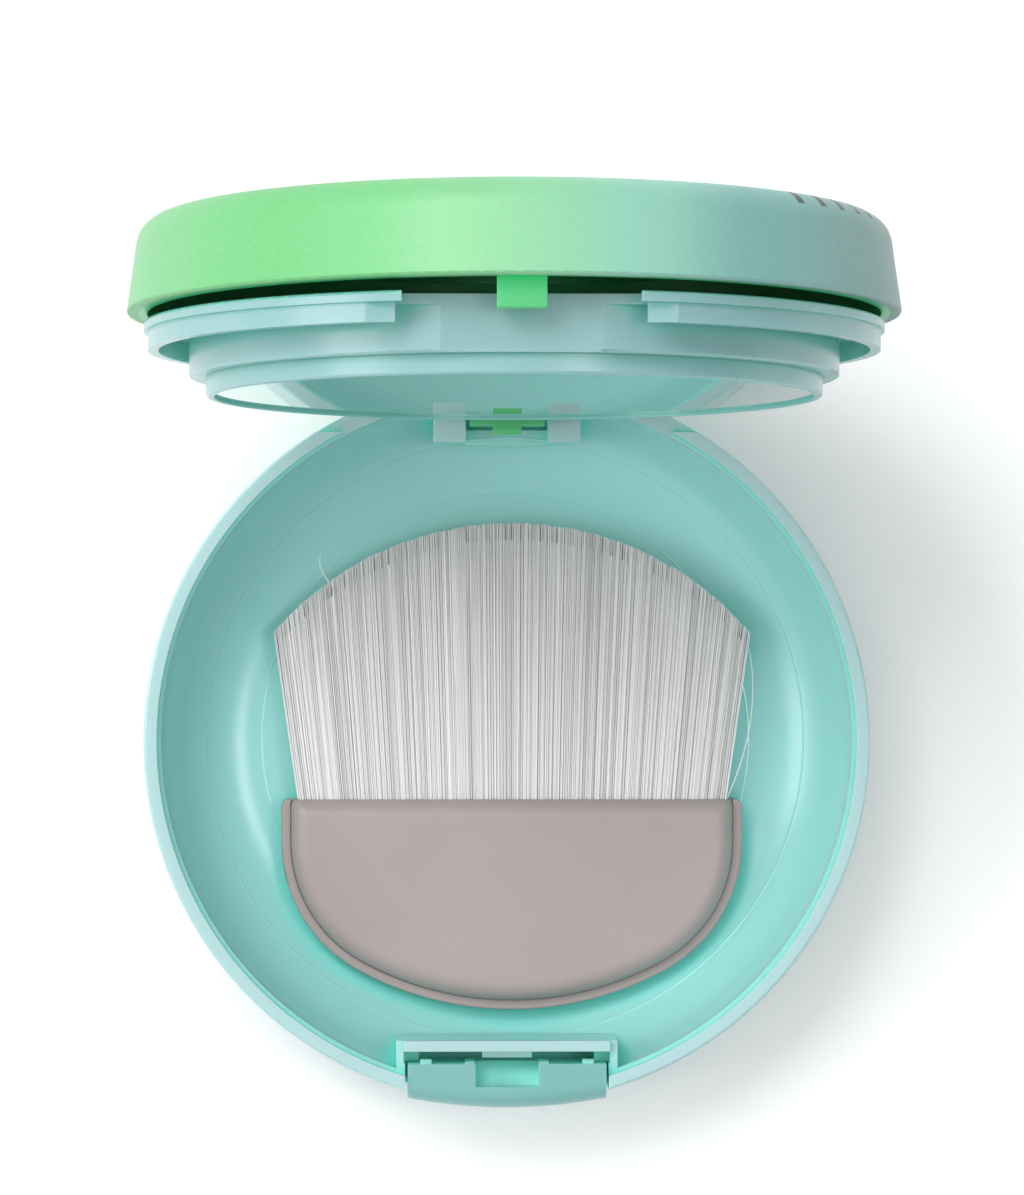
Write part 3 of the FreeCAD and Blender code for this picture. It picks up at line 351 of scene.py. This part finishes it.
tree.links.new(add_node(tree, "ShaderNodeMix",
                        {"data_type": "RGBA",
                         0: add_node(tree, "ShaderNodeMapRange",
                                     {"Value": turns, "From Min": -1, "From Max": 1, "To Min": 0.0,
                                      "To Max": 0.16}).outputs["Result"],
                         6: speckle, 7: linear("#C99F7E")}).outputs[2],
               shader.inputs["Base Color"])
pressed = add_node(tree, "ShaderNodeBump",
                   {"Height": turns, "Distance": 0.12 * MM, "Strength": 0.7}).outputs["Normal"]
tree.links.new(add_node(tree, "ShaderNodeBump",
                        {"Height": grain, "Distance": 0.03 * MM, "Strength": 0.6,
                         "Normal": pressed}).outputs["Normal"],
               shader.inputs["Normal"])
paint("pressed_powder", cake)

# ---------------------------------------------------------------- lid
# The lid is a skin over a liner. The skin is painted from fresh green on the left to pale aqua on
# the right under a gloss lacquer, and its colour darkens towards the right end as painted shade; the liner,
# with the latch hook and the hinge leaf, is bright green.
LID_SLANT = 0.06
LID_SHIFT_MM = 5
# Colour stops across the lid in mm: the hue runs from green to aqua, and the darkening of the right end is
# painted shade.
LID_PAINT_AND_PAINTED_SHADE = [(-38, "#70B97D"), (-24, "#65B872"), (-14, "#6BBD78"), (-6, "#7AC286"), (3, "#85C69A"),
              (12, "#8AC4B1"), (22, "#7CAFAB"), (38, "#6A8F8A")]
lid_paint, tree, shader, place = new_material("lacquered_shade_paint", {"IOR": 1.5, "Coat Weight": 0.12,
                                                                       "Coat Roughness": 0.3})
axes = add_node(tree, "ShaderNodeSeparateXYZ", {"Vector": place}).outputs
slanted = add_node(tree, "ShaderNodeMath",
                   {"operation": "ADD", 0: axes["X"],
                    1: add_node(tree, "ShaderNodeMath",
                                {"operation": "MULTIPLY", 0: axes["Z"], 1: LID_SLANT}).outputs[0]}).outputs[0]
along = add_node(tree, "ShaderNodeMapRange",
                 {"Value": slanted, "From Min": (LID_PAINT_AND_PAINTED_SHADE[0][0] + LID_SHIFT_MM) * MM,
                  "From Max": (LID_PAINT_AND_PAINTED_SHADE[-1][0] + LID_SHIFT_MM) * MM}).outputs["Result"]
ramp = add_node(tree, "ShaderNodeValToRGB", {"Fac": along})
ramp.color_ramp.interpolation = "EASE"
while len(ramp.color_ramp.elements) < len(LID_PAINT_AND_PAINTED_SHADE):
    ramp.color_ramp.elements.new(0.5)
reach = LID_PAINT_AND_PAINTED_SHADE[-1][0] - LID_PAINT_AND_PAINTED_SHADE[0][0]
for element, (at, code) in zip(ramp.color_ramp.elements, LID_PAINT_AND_PAINTED_SHADE):
    element.position = (at - LID_PAINT_AND_PAINTED_SHADE[0][0]) / reach
    element.color = linear(code)
fleck = add_node(tree, "ShaderNodeMapRange",
                 {"Value": add_node(tree, "ShaderNodeTexNoise",
                                    {"Scale": 1000 / 0.6, "Detail": 4.0, "Vector": place}).outputs["Fac"],
                  "From Min": 0.4, "From Max": 0.7, "To Min": 0.0, "To Max": 0.03}).outputs["Result"]
tree.links.new(add_node(tree, "ShaderNodeMix",
                        {"data_type": "RGBA", 0: fleck, 6: ramp.outputs["Color"],
                         7: linear("#E9F7EE")}).outputs[2],
               shader.inputs["Base Color"])
add_surface(tree, shader, place, 0.46, 0.35, 0.003)
paint("lid_cover", lid_paint)
# Painted glow: the liner's hollows turn a saturated bright green, standing for light through the lid's walls.
paint("lid_inner", plastic("polished_green_abs", "#58BC7B", "#50B573", 0.32, SOFT_PLASTIC, "#2CE68C"))

# ---------------------------------------------------------------- lid marks
# Five short plain dashes are printed in dark ink round the lid's shoulder, to the right of the
# hook. They are drawn on the shut lid, and then turned open with it.
HINGE = next(Vector(joint["pos_m"]) for joint in frame["record"]["behaviour"]["joints"]
             if joint["name"] == "tray_hinge")
LID_OPEN = math.radians(93.1)
OPEN_LID = Matrix.Translation(HINGE) @ Matrix.Rotation(-LID_OPEN, 4, "X") @ Matrix.Translation(-HINGE)
LID_SIDE = 7.0 * MM
LID_TAPER = 0.9 * MM
LID_SHOULDER = 2.9 * MM
SHOULDER_LEAN = math.radians(7.8)
SHOULDER_TURN = 1.4
INK_PROUD = 0.012 * MM


def lid_skin_point(turn, climb):
    """A point on the round shoulder of the shut lid's skin: turn is from the front towards +X, and climb is the
    way up the side and round the shoulder."""
    bend = SHOULDER_LEAN + min((climb - LID_SIDE) / LID_SHOULDER, SHOULDER_TURN)
    out = BASE_RADIUS - LID_TAPER + LID_SHOULDER * (math.cos(bend) - math.cos(SHOULDER_LEAN)) + INK_PROUD
    up = BASE_HIGH + LID_SIDE + LID_SHOULDER * (math.sin(bend) - math.sin(SHOULDER_LEAN))
    return Vector((out * math.sin(turn), -out * math.cos(turn), up))


def new_piece(name, body, made, mesh):
    """Finishes a mesh as a piece: material and body."""
    piece = bpy.data.objects.new(name, mesh)
    bpy.context.scene.collection.objects.link(piece)
    mesh.materials.clear()
    mesh.materials.append(made)
    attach(piece, body)
    return piece


ink, tree, shader, place = new_material("dark_screen_ink", {"IOR": 1.48, "Coat Weight": 0.3})
tree.links.new(add_node(tree, "ShaderNodeMix",
                        {"data_type": "RGBA",
                         0: add_node(tree, "ShaderNodeTexNoise",
                                     {"Scale": 1000 / 0.3, "Detail": 4.0, "Vector": place}).outputs["Fac"],
                         6: linear("#131C1A"), 7: linear("#1E2A27")}).outputs[2],
               shader.inputs["Base Color"])
tree.links.new(add_node(tree, "ShaderNodeMapRange",
                        {"Value": add_node(tree, "ShaderNodeTexNoise",
                                           {"Scale": 1000 / 0.5, "Detail": 2.0,
                                            "Vector": place}).outputs["Fac"],
                         "From Min": 0.3, "From Max": 0.7, "To Min": 0.35, "To Max": 0.5}).outputs["Result"],
               shader.inputs["Roughness"])
DASH_TURNS = (46.4, 52.0, 57.4, 62.9, 68.5)
DASH_WIDE = math.radians(1.5)
DASH_FROM, DASH_TO = 8.3 * MM, 10.6 * MM
DASH_ROWS = 8
dashes = bmesh.new()
for turn in DASH_TURNS:
    grid = []
    for row in range(DASH_ROWS + 1):
        climb = DASH_FROM + (DASH_TO - DASH_FROM) * row / DASH_ROWS
        grid.append([dashes.verts.new(OPEN_LID @ lid_skin_point(math.radians(turn) + side * DASH_WIDE, climb))
                     for side in (-0.5, 0.0, 0.5)])
    for lower, upper in zip(grid, grid[1:]):
        for column in range(2):
            dashes.faces.new((lower[column], lower[column + 1], upper[column + 1], upper[column]))
dash_mesh = bpy.data.meshes.new("lid_dashes")
dashes.to_mesh(dash_mesh)
dashes.free()
new_piece("lid_dashes", "lid", ink, dash_mesh)

# ---------------------------------------------------------------- brush handle
# The flat handle is two satin taupe mouldings, the upper let into the lower along a seam. The
# bristles are glued into the slot across its mouth.
taupe = plastic("satin_taupe_abs", "#A59795", "#9F918F", 0.45, None, None, 0.35, 0.006, 0.15)
paint("brush_handle_lower", taupe)
paint("brush_handle_upper", taupe)
paint("tuft_glue", plastic("set_epoxy", "#D9D2BC", "#CFC7AE", 0.35))

# ---------------------------------------------------------------- bristles
# A flat fan of fine synthetic bristles. Geometry nodes lay some thousands of tapered strands over a
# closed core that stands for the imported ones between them; every strand has its own shade of grey.
TUFT_LOW, TUFT_HIGH = (Vector(corner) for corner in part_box("bristle_tuft"))
MOUTH_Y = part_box("brush_handle_lower")[1][1]
FAN_X = (TUFT_LOW.x + TUFT_HIGH.x) / 2
TIP_HALF = (TUFT_HIGH.x - TUFT_LOW.x) / 2
ROOT_HALF = TIP_HALF - 2.8 * MM
TIP_TOP = TUFT_HIGH.y
TIP_ARC = 33.4 * MM
STRAND_COUNT = 6000
STRAND_RADIUS = 0.075 * MM

bristle, tree, shader, place = new_material("crimped_nylon_bristle", {"Roughness": 0.5, "IOR": 1.5,
                                                                     "Sheen Weight": 0.3,
                                                                     "Sheen Roughness": 0.4})
tone = add_node(tree, "ShaderNodeAttribute", {"attribute_name": "tone"}).outputs["Fac"]
tree.links.new(add_node(tree, "ShaderNodeMix",
                        {"data_type": "RGBA", 0: tone, 6: linear("#DAD9D9"),
                         7: linear("#EBEAE9")}).outputs[2],
               shader.inputs["Base Color"])
tree.links.new(add_node(tree, "ShaderNodeBump",
                        {"Height": add_node(tree, "ShaderNodeTexNoise",
                                            {"Scale": 1000 / 0.3, "Detail": 2.0,
                                             "Vector": place}).outputs["Fac"],
                         "Distance": 0.01 * MM, "Strength": 0.2}).outputs["Normal"],
               shader.inputs["Normal"])

SKIN_GAP = 0.1 * MM
FAN_SIZES = {"Middle X": FAN_X, "Mouth Y": MOUTH_Y - 1.0 * MM, "Root half width": ROOT_HALF,
             "Tip half width": TIP_HALF - SKIN_GAP, "Tip top": TIP_TOP + 0.5 * MM, "Tip arc radius": TIP_ARC,
             "Low": TUFT_LOW.z + SKIN_GAP, "High": TUFT_HIGH.z - SKIN_GAP, "Strand radius": STRAND_RADIUS}
TOP_BIAS = 0.35
TIP_FLATTEN = 0.92
UNDER_SHORT = 0.9 * MM
TRIM_SHORT = 0.5 * MM
CLUMP_SHORT = 0.5 * MM
CLUMPS = 9.0
TIP_TAPER = 0.45
STRAND_RINGS = 6

fan = bpy.data.node_groups.new("bristle_fan", "GeometryNodeTree")
fan.interface.new_socket("Geometry", in_out="OUTPUT", socket_type="NodeSocketGeometry")
for size_name in FAN_SIZES:
    fan.interface.new_socket(size_name, in_out="INPUT", socket_type="NodeSocketFloat")
fan.interface.new_socket("Count", in_out="INPUT", socket_type="NodeSocketInt")
sizes = add_node(fan, "NodeGroupInput").outputs


def add_scaled(amount, factor, start):
    """start + amount * factor, for a socket as start."""
    return add_node(fan, "ShaderNodeMath",
                    {"operation": "ADD", 0: start,
                     1: add_node(fan, "ShaderNodeMath",
                                 {"operation": "MULTIPLY", 0: amount, 1: factor}).outputs[0]}).outputs[0]


# Each strand runs from the slot to the tip arc, and the lower ones are trimmed shorter.
spread = add_node(fan, "FunctionNodeRandomValue",
                  {"data_type": "FLOAT", 2: -1.0, 3: 1.0, "Seed": 11}).outputs[1]
layer = add_node(fan, "ShaderNodeMath",
                 {"operation": "POWER",
                  0: add_node(fan, "FunctionNodeRandomValue",
                              {"data_type": "FLOAT", 2: 0.0, 3: 1.0, "Seed": 12}).outputs[1],
                  1: TOP_BIAS}).outputs[0]
trim = add_node(fan, "FunctionNodeRandomValue", {"data_type": "FLOAT", 2: 0.0, 3: 1.0, "Seed": 13}).outputs[1]
clump = add_node(fan, "ShaderNodeTexNoise",
                 {"Scale": CLUMPS, "Detail": 3.0,
                  "Vector": add_node(fan, "ShaderNodeCombineXYZ",
                                     {0: spread, 1: 0.0, 2: 0.0}).outputs["Vector"]}).outputs["Fac"]
depth = add_node(fan, "ShaderNodeMath",
                 {"operation": "SUBTRACT", 0: sizes["High"], 1: sizes["Low"]}).outputs[0]
root_z = add_scaled(layer, depth, sizes["Low"])
middle_z = add_scaled(depth, 0.5, sizes["Low"])
tip_z = add_scaled(add_node(fan, "ShaderNodeMath",
                            {"operation": "SUBTRACT", 0: root_z, 1: middle_z}).outputs[0],
                   TIP_FLATTEN, middle_z)
root = add_node(fan, "ShaderNodeCombineXYZ",
                {0: add_scaled(spread, sizes["Root half width"], sizes["Middle X"]), 1: sizes["Mouth Y"],
                 2: root_z}).outputs["Vector"]

aside = add_node(fan, "ShaderNodeMath",
                 {"operation": "MULTIPLY", 0: spread, 1: sizes["Tip half width"]}).outputs[0]
arc_rise = add_node(fan, "ShaderNodeMath",
                    {"operation": "SQRT",
                     0: add_node(fan, "ShaderNodeMath",
                                 {"operation": "SUBTRACT",
                                  0: add_node(fan, "ShaderNodeMath",
                                              {"operation": "POWER", 0: sizes["Tip arc radius"],
                                               1: 2.0}).outputs[0],
                                  1: add_node(fan, "ShaderNodeMath",
                                              {"operation": "POWER", 0: aside,
                                               1: 2.0}).outputs[0]}).outputs[0]}).outputs[0]
arc_middle = add_node(fan, "ShaderNodeMath",
                      {"operation": "SUBTRACT", 0: sizes["Tip top"], 1: sizes["Tip arc radius"]}).outputs[0]
short = add_node(fan, "ShaderNodeMath",
                 {"operation": "MULTIPLY",
                  0: add_node(fan, "ShaderNodeMath", {"operation": "SUBTRACT", 0: 1.0, 1: layer}).outputs[0],
                  1: UNDER_SHORT}).outputs[0]
short = add_scaled(clump, CLUMP_SHORT, short)
short = add_scaled(add_node(fan, "ShaderNodeMath", {"operation": "POWER", 0: trim, 1: 4.0}).outputs[0],
                   TRIM_SHORT, short)
tip_y = add_node(fan, "ShaderNodeMath",
                 {"operation": "SUBTRACT",
                  0: add_node(fan, "ShaderNodeMath",
                              {"operation": "ADD", 0: arc_middle, 1: arc_rise}).outputs[0],
                  1: short}).outputs[0]
tip = add_node(fan, "ShaderNodeCombineXYZ",
               {0: add_node(fan, "ShaderNodeMath",
                            {"operation": "ADD", 0: aside, 1: sizes["Middle X"]}).outputs[0],
                1: tip_y, 2: tip_z}).outputs["Vector"]

strand = add_node(fan, "ShaderNodeVectorMath", {"operation": "SUBTRACT", 0: tip, 1: root}).outputs["Vector"]
strand_length = add_node(fan, "ShaderNodeVectorMath", {"operation": "LENGTH", 0: strand}).outputs["Value"]
roots = add_node(fan, "GeometryNodePoints", {"Count": sizes["Count"], "Position": root})
line = add_node(fan, "GeometryNodeCurvePrimitiveLine", {"End": (0.0, 1.0, 0.0)})
fine_line = add_node(fan, "GeometryNodeResampleCurve",
                     {"Count": STRAND_RINGS, "Curve": line.outputs["Curve"]})
where = add_node(fan, "GeometryNodeInputPosition").outputs["Position"]
way = add_node(fan, "ShaderNodeSeparateXYZ", {"Vector": where}).outputs["Y"]
taper = add_node(fan, "ShaderNodeMath",
                 {"operation": "SUBTRACT", 0: 1.0,
                  1: add_node(fan, "ShaderNodeMath",
                              {"operation": "MULTIPLY",
                               0: add_node(fan, "ShaderNodeMath",
                                           {"operation": "POWER", 0: way, 1: 3.0}).outputs[0],
                               1: TIP_TAPER}).outputs[0]}).outputs[0]
profile = add_node(fan, "GeometryNodeCurvePrimitiveCircle",
                   {"Resolution": 3, "Radius": sizes["Strand radius"]})
tube = add_node(fan, "GeometryNodeCurveToMesh",
                {"Fill Caps": True, "Curve": fine_line.outputs["Curve"],
                 "Profile Curve": profile.outputs["Curve"], "Scale": taper})
turned = add_node(fan, "FunctionNodeAlignRotationToVector", {"axis": "Y", "Vector": strand})
placed = add_node(fan, "GeometryNodeInstanceOnPoints",
                  {"Points": roots.outputs["Points"], "Instance": tube.outputs["Mesh"],
                   "Rotation": turned.outputs["Rotation"],
                   "Scale": add_node(fan, "ShaderNodeCombineXYZ",
                                     {0: 1.0, 1: strand_length, 2: 1.0}).outputs["Vector"]})
shaded = add_node(fan, "GeometryNodeStoreNamedAttribute",
                  {"data_type": "FLOAT", "domain": "INSTANCE", "Name": "tone",
                   "Geometry": placed.outputs["Instances"],
                   "Value": add_node(fan, "FunctionNodeRandomValue",
                                     {"data_type": "FLOAT", 2: 0.0, 3: 1.0, "Seed": 14}).outputs[1]})
solid = add_node(fan, "GeometryNodeRealizeInstances", {"Geometry": shaded.outputs["Geometry"]})
coated = add_node(fan, "GeometryNodeSetMaterial",
                  {"Material": bristle, "Geometry": solid.outputs["Geometry"]})
add_node(fan, "NodeGroupOutput", {"Geometry": coated.outputs["Geometry"]})


def grow(name, tree, values, body, made):
    """Runs a geometry tree once and keeps its result as a plain mesh."""
    grower = bpy.data.objects.new(f"{name}_grower", bpy.data.meshes.new(name))
    bpy.context.scene.collection.objects.link(grower)
    modifier = grower.modifiers.new("grow", "NODES")
    modifier.node_group = tree
    for item in tree.interface.items_tree:
        if item.item_type == "SOCKET" and item.in_out == "INPUT" and item.name in values:
            modifier[item.identifier] = values[item.name]
    bpy.context.view_layer.update()
    whole = bpy.data.meshes.new_from_object(grower.evaluated_get(bpy.context.evaluated_depsgraph_get()))
    whole.name = name
    grower.modifiers.clear()
    bpy.data.objects.remove(grower)
    return new_piece(name, body, made, whole)


strands = grow("bristle_strands", fan, {**FAN_SIZES, "Count": STRAND_COUNT}, "base", bristle)

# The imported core: a closed fan a little inside the strands, streaked along its length.
core_nylon, tree, shader, place = new_material("packed_nylon_core", {"Roughness": 0.6, "IOR": 1.5})
across_fan = add_node(tree, "ShaderNodeUVMap", {"uv_map": "fan"}).outputs["UV"]
streaks = add_node(tree, "ShaderNodeMapping", {"Scale": (260.0, 1.5, 1.0), "Vector": across_fan})
packed = add_node(tree, "ShaderNodeTexNoise",
                  {"Scale": 1.0, "Detail": 4.0, "Vector": streaks.outputs["Vector"]}).outputs["Fac"]
tree.links.new(add_node(tree, "ShaderNodeMix",
                        {"data_type": "RGBA",
                         0: add_node(tree, "ShaderNodeMapRange",
                                     {"Value": packed, "From Min": 0.35, "From Max": 0.65}).outputs["Result"],
                         6: linear("#DCDCDB"), 7: linear("#E8E8E7")}).outputs[2],
               shader.inputs["Base Color"])
tree.links.new(add_node(tree, "ShaderNodeBump",
                        {"Height": packed, "Distance": 0.06 * MM, "Strength": 0.5}).outputs["Normal"],
               shader.inputs["Normal"])
ACROSS, ALONG = 150, 12
CORE_INSET = 0.8 * MM
CORE_SHORT = 1.4 * MM
CORE_FALL = 0.1 * MM
ragged = random.Random(5)
ragged_by = [ragged.uniform(0, 0.5 * MM) for _ in range(ACROSS + 1)]
core = bmesh.new()
uv = core.loops.layers.uv.new("fan")
places = {}


def core_sheet(level, shorter):
    """One face of the core as a grid of vertices, each column cut shorter by its own length."""
    grid = []
    for column in range(ACROSS + 1):
        side = 2 * column / ACROSS - 1
        tip_out = side * (TIP_HALF - CORE_INSET)
        tip_up = TIP_TOP - TIP_ARC + math.sqrt(TIP_ARC ** 2 - tip_out ** 2) - CORE_SHORT - shorter[column]
        foot = Vector((FAN_X + side * (ROOT_HALF - SKIN_GAP), MOUTH_Y - 1.2 * MM, level))
        end = Vector((FAN_X + tip_out, tip_up, level - CORE_FALL))
        line_up = [core.verts.new(foot.lerp(end, step / ALONG)) for step in range(ALONG + 1)]
        places.update({vertex: ((side + 1) / 2, step / ALONG) for step, vertex in enumerate(line_up)})
        grid.append(line_up)
    return grid


# The lower face ends raggedly, the upper one evenly under the strands.
low_sheet = core_sheet(TUFT_LOW.z + 0.5 * MM, ragged_by)
high_sheet = core_sheet(TUFT_HIGH.z - 0.3 * MM, [ragged_by[-1]] * (ACROSS + 1))


def cell(sheet, column, step):
    """The four corners of one cell of a sheet, in order."""
    return sheet[column][step], sheet[column + 1][step], sheet[column + 1][step + 1], sheet[column][step + 1]


outlines = []
for column in range(ACROSS):
    outlines += [cell(sheet, column, step) for step in range(ALONG) for sheet in (high_sheet, low_sheet)]
    outlines += [(low_sheet[column][step], low_sheet[column + 1][step], high_sheet[column + 1][step],
                  high_sheet[column][step]) for step in (0, ALONG)]
for step in range(ALONG):
    outlines += [(low_sheet[column][step], low_sheet[column][step + 1], high_sheet[column][step + 1],
                  high_sheet[column][step]) for column in (0, ACROSS)]
for corners in outlines:
    face = core.faces.new(corners)
    for loop in face.loops:
        loop[uv].uv = places[loop.vert]
bmesh.ops.recalc_face_normals(core, faces=core.faces)
core_mesh = bpy.data.meshes.new("bristle_core")
core.to_mesh(core_mesh)
core.free()
bristle_core = new_piece("bristle_core", "base", core_nylon, core_mesh)
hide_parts("bristle_tuft")
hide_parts("bristle_tuft")


HAIR_STEPS, HAIR_SIDES = 14, 6


def stray_hair(name, start, bulge, end):
    """One loose bristle: a thin round tube on a smooth bend through a middle point, tapered to its tip."""
    hair = bmesh.new()
    loops = []
    for step in range(HAIR_STEPS + 1):
        part = step / HAIR_STEPS
        middle = start.lerp(bulge, part).lerp(bulge.lerp(end, part), part)
        along = (bulge.lerp(end, part) - start.lerp(bulge, part)).normalized()
        aside = along.cross(Vector((0, 0, 1))).normalized()
        above = aside.cross(along)
        thick = STRAND_RADIUS * (1.1 - 0.6 * part)
        loops.append([hair.verts.new(middle + thick * (aside * math.cos(angle) + above * math.sin(angle)))
                      for angle in (2 * math.pi * side / HAIR_SIDES for side in range(HAIR_SIDES))])
    for first, second in zip(loops, loops[1:]):
        for side in range(HAIR_SIDES):
            after = (side + 1) % HAIR_SIDES
            hair.faces.new((first[side], first[after], second[after], second[side]))
    hair.faces.new(loops[0])
    hair.faces.new(loops[-1])
    bmesh.ops.recalc_face_normals(hair, faces=hair.faces)
    mesh = bpy.data.meshes.new(name)
    hair.to_mesh(mesh)
    hair.free()
    new_piece(name, "base", bristle, mesh)


HAIR_Z = TUFT_HIGH.z - 0.4 * MM
EDGE_Y = TIP_TOP - TIP_ARC + math.sqrt(TIP_ARC ** 2 - TIP_HALF ** 2)
stray_hair("stray_hair_right", Vector((FAN_X + ROOT_HALF, MOUTH_Y - 0.5 * MM, HAIR_Z)),
           Vector((FAN_X + TIP_HALF + 1.6 * MM, (MOUTH_Y + EDGE_Y) / 2, HAIR_Z)),
           Vector((FAN_X + TIP_HALF - 0.4 * MM, EDGE_Y - 0.4 * MM, HAIR_Z)))
stray_hair("stray_hair_left", Vector((FAN_X - 0.75 * TIP_HALF, TIP_TOP - 6.5 * MM, HAIR_Z)),
           Vector((FAN_X - 0.82 * TIP_HALF, TIP_TOP - 4.6 * MM, HAIR_Z + 0.2 * MM)),
           Vector((FAN_X - 0.8 * TIP_HALF, TIP_TOP - 3.2 * MM, HAIR_Z + 0.2 * MM)))

# ---------------------------------------------------------------- floor, light and camera
# A plain white floor and soft studio light: a large key from behind on the left, a weaker one from
# the left side, a narrow strip on the right, and air that is brighter overhead and on the left.
HALF_FLOOR = 3.0
FLOOR_DROP = 0.2 * MM
floor_mesh = bpy.data.meshes.new("studio_floor")
floor_mesh.from_pydata([(x * HALF_FLOOR, y * HALF_FLOOR, 0) for x, y in ((-1, -1), (1, -1), (1, 1), (-1, 1))],
                       [], [(0, 1, 2, 3)])
floor = bpy.data.objects.new("studio_floor", floor_mesh)
floor.location.z = -FLOOR_DROP
bpy.context.scene.collection.objects.link(floor)
paper, tree, shader, place = new_material("white_backdrop_paper", {"Roughness": 0.9})
tree.links.new(add_node(tree, "ShaderNodeMix",
                        {"data_type": "RGBA",
                         0: add_node(tree, "ShaderNodeTexNoise",
                                     {"Scale": 1000 / 40.0, "Detail": 2.0, "Vector": place}).outputs["Fac"],
                         6: linear("#FAFAFA"), 7: linear("#F6F6F6")}).outputs[2],
               shader.inputs["Base Color"])
floor_mesh.materials.append(paper)

world = bpy.data.worlds.new("studio_air")
bpy.context.scene.world = world
world.use_nodes = True
air = world.node_tree
air_way = add_node(air, "ShaderNodeTexCoord").outputs["Generated"]
air_lean = add_node(air, "ShaderNodeVectorMath",
                    {"operation": "DOT_PRODUCT", 1: (-0.6, 0.0, 0.6), 0: air_way}).outputs["Value"]
air_shade = add_node(air, "ShaderNodeMix",
                     {"data_type": "RGBA",
                      0: add_node(air, "ShaderNodeMapRange",
                                  {"Value": air_lean, "From Min": -0.4, "From Max": 0.7}).outputs["Result"],
                      6: linear("#8A9090"), 7: linear("#FFFFFF")}).outputs[2]
air.links.new(air_shade, air.nodes["Background"].inputs["Color"])
air.nodes["Background"].inputs["Strength"].default_value = 0.95


def soft_light(name, at, aim, size, power):
    """A square area light at one place, aimed at another, in metres and watts."""
    lamp = bpy.data.lights.new(name, "AREA")
    lamp.shape = "SQUARE"
    lamp.size = size
    lamp.energy = power
    holder = bpy.data.objects.new(name, lamp)
    holder.location = at
    holder.rotation_euler = (Vector(aim) - Vector(at)).to_track_quat("-Z", "Y").to_euler()
    bpy.context.scene.collection.objects.link(holder)


LIGHT_AIM = (0, 0.01, 0.02)
soft_light("key", (-0.75, 0.95, 1.7), LIGHT_AIM, 0.9, 18.0)
soft_light("strip", (0.62, 0.05, 1.5), LIGHT_AIM, 0.35, 3.5)
soft_light("side", (-1.6, 0.0, 1.0), LIGHT_AIM, 0.8, 8.0)

CAMERA_HEIGHT = 0.600
CAMERA_SIDE = -11.7 * MM
LOOK_AT = Vector((0.5 * MM, 15.0 * MM, BASE_HIGH))
camera = bpy.data.objects.new("camera", bpy.data.cameras.new("camera"))
camera.location = (CAMERA_SIDE, LOOK_AT.y, BASE_HIGH + CAMERA_HEIGHT)
camera.rotation_euler = (0.0, -math.atan2(LOOK_AT.x - CAMERA_SIDE, CAMERA_HEIGHT), 0.0)
camera.data.lens = 173.0
camera.data.sensor_width = 36.0
camera.data.clip_start = 0.01
camera.data.clip_end = 10.0
bpy.context.scene.collection.objects.link(camera)
bpy.context.scene.camera = camera
bpy.context.scene.view_settings.view_transform = "Standard"
